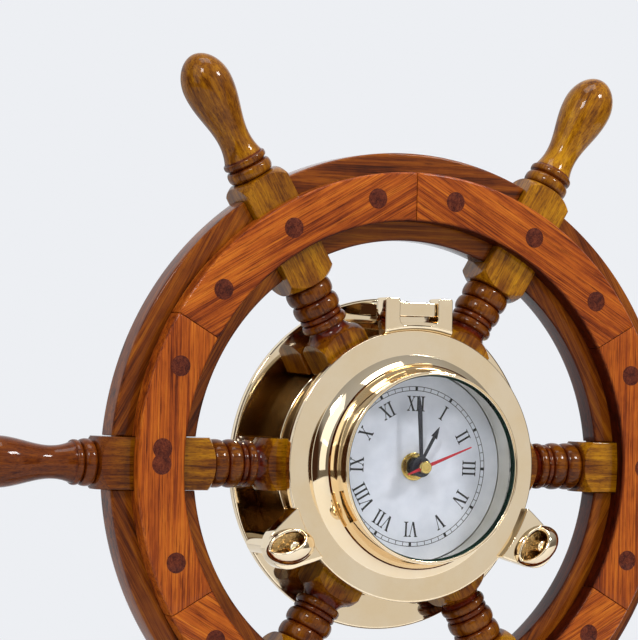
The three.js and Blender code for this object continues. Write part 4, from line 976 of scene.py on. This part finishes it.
# A stud: a plain shank with a chamfer at both ends.
def studProfile(radius, rear, front, edge):
    return [(0.0, rear), (radius - edge, rear), (radius, rear + edge), (radius, front - edge),
            (radius - edge, front), (0.0, front)]


for side in ("left", "right"):
    studLow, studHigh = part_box(f"clamp_stud_{side}")
    stud = studProfile((studHigh.x - studLow.x) / 2 / mm, *levelsOf(f"clamp_stud_{side}"),
                       nutSettings["studEdge"])
    makePiece(f"clampStud_{side}", [lathe(stud, 40, clampPlace(side))], [brass],
              f"clamp_screw_{side}", "polished_brass", f"clamp_stud_{side}")
    cup = nutSheets(clampPlace(side), levelsOf(f"cup_nut_{side}")[0], math.radians(nutSettings["turns"][side]),
                    nutSettings)
    makePiece(f"cupNut_{side}", cup, [brass, castBrass], f"clamp_screw_{side}", "polished_brass",
              f"cup_nut_{side}", crease=nutSettings["crease"])
print("clamp screws made")


dialSettings = {
    "numeralRadius": 31.0, "numeralHeight": 7.4, "trackInner": 37.4, "trackOuter": 39.4, "line": 0.3,
    "blockDegrees": 2.0, "tickDegrees": 0.45, "circleDegrees": 1.5, "printHeight": 0.04, "hole": 4.6,
    "edge": 0.15, "turn": -1.4,
    "numerals": ["XII", "I", "II", "III", "IV", "V", "VI", "VII", "VIII", "IX", "X", "XI"]}
dialRear, dialFront = levelsOf("dial")


# A stroke of a numeral: a slanted band cut off level at its two ends.
def stroke(x0, y0, x1, y1, width):
    return [(x0 - width / 2, y0), (x0 + width / 2, y0), (x1 + width / 2, y1), (x1 - width / 2, y1)]


# A serif at a stroke's end: a thin foot, and over it a wedge that narrows to the stroke.
def serif(x, y, way, half=0.13, foot=0.045, wedge=0.10, neck=0.05):
    return [stroke(x, y, x, y + way * foot, half * 2),
            [(x - half * 0.75, y + way * foot), (x + half * 0.75, y + way * foot),
             (x + neck, y + way * wedge), (x - neck, y + way * wedge)]]


# Serif strokes of I, V and X in a box one unit high, and the width that each takes.
def letterStrokes(letter, stem=0.13, thick=0.145, thin=0.05, wide=0.16, narrow=0.11):
    if letter == "I":
        return [stroke(0, 0, 0, 1, stem)] + serif(0, 0, 1, wide) + serif(0, 1, -1, wide), 0.36
    if letter == "V":
        return [stroke(-0.22, 1, 0.01, 0, thick), stroke(0.23, 1, 0.03, 0, thin)] + serif(-0.22, 1, -1) \
            + serif(0.23, 1, -1, narrow), 0.68
    return [stroke(-0.19, 1, 0.2, 0, thick), stroke(0.2, 1, -0.2, 0, thin)] + serif(-0.19, 1, -1) \
        + serif(0.2, 1, -1, narrow) + serif(-0.2, 0, 1, narrow) + serif(0.2, 0, 1), 0.64


# A numeral's strokes side by side about its middle, scaled, set out at its radius and turned to its hour.
def numeralMarks(text, hour, s):
    parts = [letterStrokes(letter) for letter in text]
    widths = [width for strokes, width in parts]
    starts = np.cumsum([0] + widths[:-1]) - sum(widths) / 2
    marks = np.concatenate([np.array(strokes) + np.array([start + width / 2, -0.5])
                            for (strokes, width), start in zip(parts, starts)])
    return spin(marks * s["numeralHeight"] + np.array([0.0, s["numeralRadius"]]), -math.radians(30 * hour))


# Marks between two radii, each as wide as an angle, clockwise from the top.
def trackMark(inner, outer, degrees, width):
    low, high = np.radians(90 - degrees - width / 2), np.radians(90 - degrees + width / 2)
    return np.stack([onCircle(inner, low), onCircle(outer, low), onCircle(outer, high), onCircle(inner, high)],
                    axis=1)


# All that is printed on the dial: numerals, minute ticks, hour blocks, and two circles in short pieces.
def dialMarks(s):
    numerals = [numeralMarks(text, hour, s) for hour, text in enumerate(s["numerals"])]
    minutes = np.arange(60) * 6.0
    ticks = trackMark(s["trackInner"], s["trackOuter"], minutes, s["tickDegrees"])
    blocks = trackMark(s["trackInner"], s["trackOuter"], minutes[::5], s["blockDegrees"])
    fine = np.arange(0.0, 360.0, s["circleDegrees"])
    circles = [trackMark(r - s["line"] / 2, r + s["line"] / 2, fine, s["circleDegrees"])
               for r in (s["trackInner"], s["trackOuter"])]
    return np.concatenate(numerals + [ticks, blocks] + circles)


dialSection = rectangle(dialSettings["hole"], reachOf("dial"), dialRear, dialFront, dialSettings["edge"], 3)
makePiece("dialFace", [lathe(dialSection, 160, closed=True)], [dialSilver], "clock", "dial_silver", "dial")
printMarks = spin(dialMarks(dialSettings), math.radians(dialSettings["turn"]))
makePiece("dialPrint", [slabs(printMarks, dialFront, dialFront + dialSettings["printHeight"])],
          [dialInk], "clock", "black_paint", weld=False)

fixingSettings = {
    "washerBore": 4.4, "washerEdge": 0.25, "nutBore": 4.25, "nutFace": 0.93, "nutCone": 1.01, "nutEdge": 0.45,
    "nutBoreEdge": 0.2, "crease": 25.0}
washerSection = rectangle(fixingSettings["washerBore"], reachOf("fixing_washer"), *levelsOf("fixing_washer"),
                          fixingSettings["washerEdge"], 3)
makePiece("fixingWasher", [lathe(washerSection, 96, closed=True)], [goldPlate], "clock", "polished_brass",
          "fixing_washer")


# A hexagon nut as a turned ring whose outside radius is the lesser of the hexagon, apothem / cos(a mod 60),
# and a cone that chamfers its corners.
def hexNutSheet(reach, rear, front, s):
    a = np.linspace(0, fullTurn, 144, endpoint=False)
    sixth, bore, edge, boreEdge = fullTurn / 6, s["nutBore"], s["nutEdge"], s["nutBoreEdge"]
    hexagon = reach * math.cos(sixth / 2) / np.cos((a + sixth / 2) % sixth - sixth / 2)
    face, cone = reach * s["nutFace"], reach * s["nutCone"]
    limits = np.array([face, cone, cone, face, bore + boreEdge, bore, bore, bore + boreEdge])
    levels = np.array([rear, rear + edge, front - edge, front, front, front - boreEdge, rear + boreEdge, rear])
    flat = onCircle(np.minimum(limits[:, None], hexagon[None]), a)
    return sheet(atLevel(flat, levels[:, None]), ringRows=True)


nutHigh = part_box("fixing_nut")[1]
hexNut = hexNutSheet(max(nutHigh.x, nutHigh.z) / mm, *levelsOf("fixing_nut"), fixingSettings)
makePiece("fixingNut", [hexNut], [goldPlate], "clock", "polished_brass", "fixing_nut",
          crease=fixingSettings["crease"])
print("dial printed")


handSettings = {
    "thickness": 0.6, "inset": 0.02, "edge": 0.14, "hubEdge": 0.12,
    "hour": {"angle": 29.3, "hub": 4.6, "bore": 2.2,
             "blade": [(-0.8, 1.0), (0.8, 1.0), (0.8, 16.9), (1.8, 16.5), (0.0, 22.7), (-1.8, 16.5),
                       (-0.8, 16.9)],
             "reach": [0.0, 0.0, 0.3, 0.2, 0.2, 0.2, 0.3]},
    "minute": {"angle": -3.2, "hub": 5.0, "bore": 1.4,
               "blade": [(-0.85, 1.0), (0.85, 1.0), (1.2, 27.5), (0.2, 35.0), (-0.2, 35.0), (-1.2, 27.5)],
               "reach": [0.0, 0.0, 3.0, 0.2, 0.2, 3.0]},
    "second": {"angle": 68.5, "hub": 3.0, "bore": 0.0,
               "blade": [(-0.35, -9.8), (0.35, -9.8), (0.85, -2.0), (0.85, 4.0), (0.3, 27.6), (-0.3, 27.6),
                         (-0.85, 4.0), (-0.85, -2.0)],
               "reach": [0.2, 0.2, 1.0, 2.0, 0.15, 0.15, 2.0, 1.0]},
    "cap": {"lift": 0.3, "edge": 0.4, "dimple": (1.5, 1.4), "dimpleDepth": 0.12}}


# A flat hand: the blade's outline raised by the sheet's thickness with soft edges, and a turned hub.
def handSheets(name, s):
    hand = s[name]
    rear, front = levelsOf(f"{name}_hand")
    front = min(front, rear + s["thickness"])
    blade = spin(rounded(hand["blade"], hand["reach"], 6), -math.radians(hand["angle"]))
    hub = rectangle(hand["bore"], hand["hub"], rear, front, s["hubEdge"], 3)
    return [raised(blade, rear + s["inset"], front - s["inset"], s["edge"]),
            lathe(hub, 64, closed=hand["bore"] > 0)]


# The second hand's cap: a disc with a quarter-round edge and a dimple in its middle.
def capSheet(radius, s):
    rear, front = levelsOf("second_hand")
    edge, (wide, narrow), floor = s["edge"], s["dimple"], front - s["dimpleDepth"]
    quarter = onCircle(edge, np.linspace(0, quarterTurn, 6)) + np.array([radius - edge, front - edge])
    profile = np.concatenate([[(0.0, rear + s["lift"]), (radius, rear + s["lift"])], quarter,
                              [(wide, front), (narrow, floor), (0.0, floor)]])
    return lathe(profile, 64, finish=1)


for name in ("hour", "minute"):
    makePiece(f"{name}Hand", handSheets(name, handSettings), [blackPaint], f"{name}_set", "black_paint",
              f"{name}_hand")
cap = capSheet(handSettings["second"]["hub"], handSettings["cap"])
makePiece("secondHand", handSheets("second", handSettings) + [cap], [redPaint, goldPlate], "second_set",
          "red_paint", "second_hand")
print("hands made")


cellSettings = {
    "button": 1.2, "sleeveGap": (0.3, 0.1), "sleeveEdges": [0.0, 0.8, 0.9, 0.0], "shoulders": (1.4, 1.6),
    "rearCup": [(4.6, 0.0), (5.2, 0.3)], "rearSunk": 0.35, "frontSunk": 0.15,
    "buttonFoot": [(3.1, -0.15), (2.7, 0.2)],
    "buttonTop": [(2.6, -0.25), (2.3, 0.0)], "around": 64, "scuffScale": 260.0, "scuff": 0.35,
    "scuffTones": [(0.4, (0.6, 0.6, 0.6)), (0.6, white)], "polish": (0.22, 0.4), "metal": 0.35,
    "bands": [(0.0, tone(24, 25, 28)), (0.70, tone(30, 31, 34)),
              (0.72, tone(176, 112, 58)), (1.0, tone(188, 122, 66))]}
cellLow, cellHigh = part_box("aa_cell")
cellStart, cellEnd = cellLow.x / mm, cellHigh.x / mm


# The cell: a sleeve with rounded ends turned along x, and in its ends a flat cup and a button.
def cellSheets(s):
    radius, body = (cellHigh.z - cellLow.z) / 2 / mm, cellEnd - s["button"]
    height, level = (cellHigh.z + cellLow.z) / 2 / mm, -(cellHigh.y + cellLow.y) / 2 / mm
    first, last = cellStart + s["sleeveGap"][0], body - s["sleeveGap"][1]
    rearIn, frontIn = radius - s["shoulders"][0], radius - s["shoulders"][1]
    sleeve = rounded([(rearIn, first), (radius, first), (radius, last), (frontIn, last)],
                     s["sleeveEdges"], 6)[:-1]
    cup = [(0.0, cellStart)] + [(r, cellStart + along) for r, along in s["rearCup"]]
    cup += [(rearIn, cellStart + s["rearSunk"])]
    button = [(frontIn, body - s["frontSunk"])] + [(r, body + along) for r, along in s["buttonFoot"]]
    button += [(r, cellEnd + along) for r, along in s["buttonTop"]] + [(0.0, cellEnd)]
    return [crossLathe(profile, height, level, s["around"], finish)
            for profile, finish in ((sleeve, 0), (cup, 1), (button, 1))]


sleeveFinish = cellSleeve("cellSleeve", cellStart, cellEnd, cellSettings)
makePiece("dryCell", cellSheets(cellSettings), [sleeveFinish, steel], "clock", "cell_wrap", "aa_cell")

hangerSettings = {"screwOut": 17.0, "screwRadius": 2.6, "proud": 0.02, "height": 0.28, "slot": 0.7, "turn": 0.5}
hangerScrews = []
hangerRear = levelsOf("hanger_plate")[0]
for side in (-1, 1):
    spot = (side * hangerSettings["screwOut"], facingMiddle)
    hangerScrews += slottedHead(spot, hangerSettings["screwRadius"], hangerRear + hangerSettings["proud"], -1,
                                hangerSettings["height"], hangerSettings["slot"], hangerSettings["turn"] + side)
makePiece("hangerScrews", hangerScrews, [steel], "clock", "steel")

nodeFinishes = [
    (steel, ["hanger_plate", "contact_positive", "contact_negative", "stator"]),
    (whitePlastic, ["dial_carrier", "rotor", "intermediate_wheel", "second_wheel", "third_wheel",
                    "centre_wheel", "motion_wheel", "hour_wheel", "setting_knob"]),
    (blackPlastic, ["movement_case", "movement_cover"]),
    (boardGreen, ["circuit_board"]),
    (copperWire, ["coil"])]
for finish, names in nodeFinishes:
    for slot in (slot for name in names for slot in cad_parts[name].material_slots):
        slot.material = finish
print("movement finished:", sum(len(names) for finish, names in nodeFinishes), "nodes")


# The room's tones run from below to above. The dark way is the unlit side of the room, and the wall is what
# shines from behind, dimmer in its middle.
stageSettings = {
    "floorLevel": -0.2005, "floorRadius": 1.15,
    "floorTones": [(0.3, tone(222, 223, 225)), (0.7, tone(226, 227, 229))],
    "floorRoughness": 0.6, "background": tone(237, 239, 243),
    "room": [(0.0, (0.16, 0.14, 0.12)), (0.56, (0.17, 0.155, 0.14)),
             (0.68, (0.30, 0.30, 0.30)), (1.0, (0.48, 0.49, 0.51))],
    "darkWay": (-0.485, -0.875, 0.0), "darkRoom": (0.05, 0.023, 0.013),
    "darkStops": [(0.92, black), (0.965, white)],
    "wall": [(0.3, black), (0.6, white), (0.91, white), (0.99, (0.3, 0.3, 0.3))],
    "lights": [
        {"name": "leftSoftbox", "place": (-1.3, -1.7, 1.6), "size": (0.5, 0.5), "power": 24.0},
        {"name": "rightSoftbox", "place": (1.3, -1.6, 1.6), "size": (0.5, 0.4), "power": 37.0},
        {"name": "leftPanel", "place": (-1.8, -1.0, 1.3), "size": (1.6, 1.6), "power": 9.0},
        {"name": "leftWall", "place": (-2.1, -1.0, 0.25), "size": (1.1, 0.9), "power": 3.4},
        {"name": "rightPanel", "place": (0.82, -2.68, 0.1), "size": (2.6, 2.2), "power": 10.2},
        {"name": "topPanel", "place": (0.0, -0.3, 2.0), "size": (1.2, 0.8), "power": 14.0}]}


# A round floor below the wheel: rings of points at one height.
def layFloor(s):
    radius = np.linspace(0, s["floorRadius"] / mm, 40)[:, None]
    flat = onCircle(radius, np.linspace(0, fullTurn, 96, endpoint=False)[None, :])
    grid = np.stack([flat[..., 0], np.full(flat.shape[:2], s["floorLevel"] / mm), flat[..., 1]], axis=-1)
    finish, tree, shader = newFinish("paleFloor")
    colour = ramp(tree, noise(tree, objectPlace(tree), 3.0), s["floorTones"])
    tree.links.new(colour, shader.inputs["Base Color"])
    setShader(shader, Roughness=s["floorRoughness"])
    floor = bpy.data.objects.new("floor", meshOf("floor", [sheet(grid)], [finish]))
    bpy.context.scene.collection.objects.link(floor)


# Points an object's -z axis from its place at a target.
def aim(thing, target):
    direction = np.array(target) - np.array(thing.location)
    flat = math.hypot(direction[0], direction[1])
    thing.rotation_euler = (math.atan2(flat, -direction[2]), 0.0, math.atan2(-direction[0], direction[1]))


# A rectangular lamp for each light, turned to the hub.
def hangLights(lights):
    for light in lights:
        lamp = bpy.data.lights.new(light["name"], "AREA")
        lamp.shape = "RECTANGLE"
        lamp.size, lamp.size_y = light["size"]
        lamp.energy = light["power"]
        holder = bpy.data.objects.new(light["name"], lamp)
        holder.location = light["place"]
        bpy.context.scene.collection.objects.link(holder)
        aim(holder, (0.0, 0.0, 0.0))


# The room around: tones by height, darker one way, a pale wall behind in what shines, and a plain background.
def setRoom(s):
    world = bpy.data.worlds.new("studio")
    world.use_nodes = True
    bpy.context.scene.world = world
    tree = world.node_tree
    rays = addNode(tree, "ShaderNodeLightPath").outputs
    direction = addNode(tree, "ShaderNodeTexCoord").outputs["Generated"]
    way = addNode(tree, "ShaderNodeSeparateXYZ", {"Vector": direction}).outputs
    room = ramp(tree, spread(tree, way["Z"], 0.5, 1.0), s["room"])
    nearness = addNode(tree, "ShaderNodeVectorMath", {0: direction, 1: s["darkWay"]},
                       operation="DOT_PRODUCT").outputs["Value"]
    room = blendColours(tree, ramp(tree, nearness, s["darkStops"]), room, s["darkRoom"])
    mirrored = calc(tree, "MULTIPLY", ramp(tree, way["Y"], s["wall"]), rays["Is Glossy Ray"])
    room = blendColours(tree, mirrored, room, s["background"])
    seen = blendColours(tree, rays["Is Camera Ray"], room, s["background"])
    tree.links.new(seen, tree.nodes["Background"].inputs["Color"])
    bpy.context.scene.view_settings.view_transform = "Standard"


cameraSettings = {
    "place": (-0.74203, -1.4973, 0.05038), "yaw": 25.297, "pitch": 0.727, "roll": 1.325, "focal": 3314.02,
    "frameHeight": 640, "sensor": 36.0, "nearest": 0.01}


# The camera's axes from its angles: forward by yaw and pitch, then right and up rolled about forward. The
# lens is the focal length in pixels times the sensor over the frame.
def setCamera(s):
    yaw, pitch, roll = (math.radians(s[key]) for key in ("yaw", "pitch", "roll"))
    forward = np.array([math.sin(yaw) * math.cos(pitch), math.cos(yaw) * math.cos(pitch), math.sin(pitch)])
    right = np.array([math.cos(yaw), -math.sin(yaw), 0.0])
    up = np.cross(right, forward)
    axes = np.stack([right * math.cos(roll) + up * math.sin(roll), up * math.cos(roll) - right * math.sin(roll),
                     -forward], axis=1)
    matrix = np.eye(4)
    matrix[:3, :3], matrix[:3, 3] = axes, s["place"]
    lens = bpy.data.cameras.new("photoCamera")
    lens.sensor_width, lens.sensor_fit = s["sensor"], "AUTO"
    lens.lens = s["focal"] * s["sensor"] / s["frameHeight"]
    lens.clip_start = s["nearest"]
    camera = bpy.data.objects.new("photoCamera", lens)
    bpy.context.scene.collection.objects.link(camera)
    camera.matrix_world = Matrix(matrix.tolist())
    bpy.context.scene.camera = camera


layFloor(stageSettings)
hangLights(stageSettings["lights"])
setRoom(stageSettings)
setCamera(cameraSettings)
print("stage and camera set")
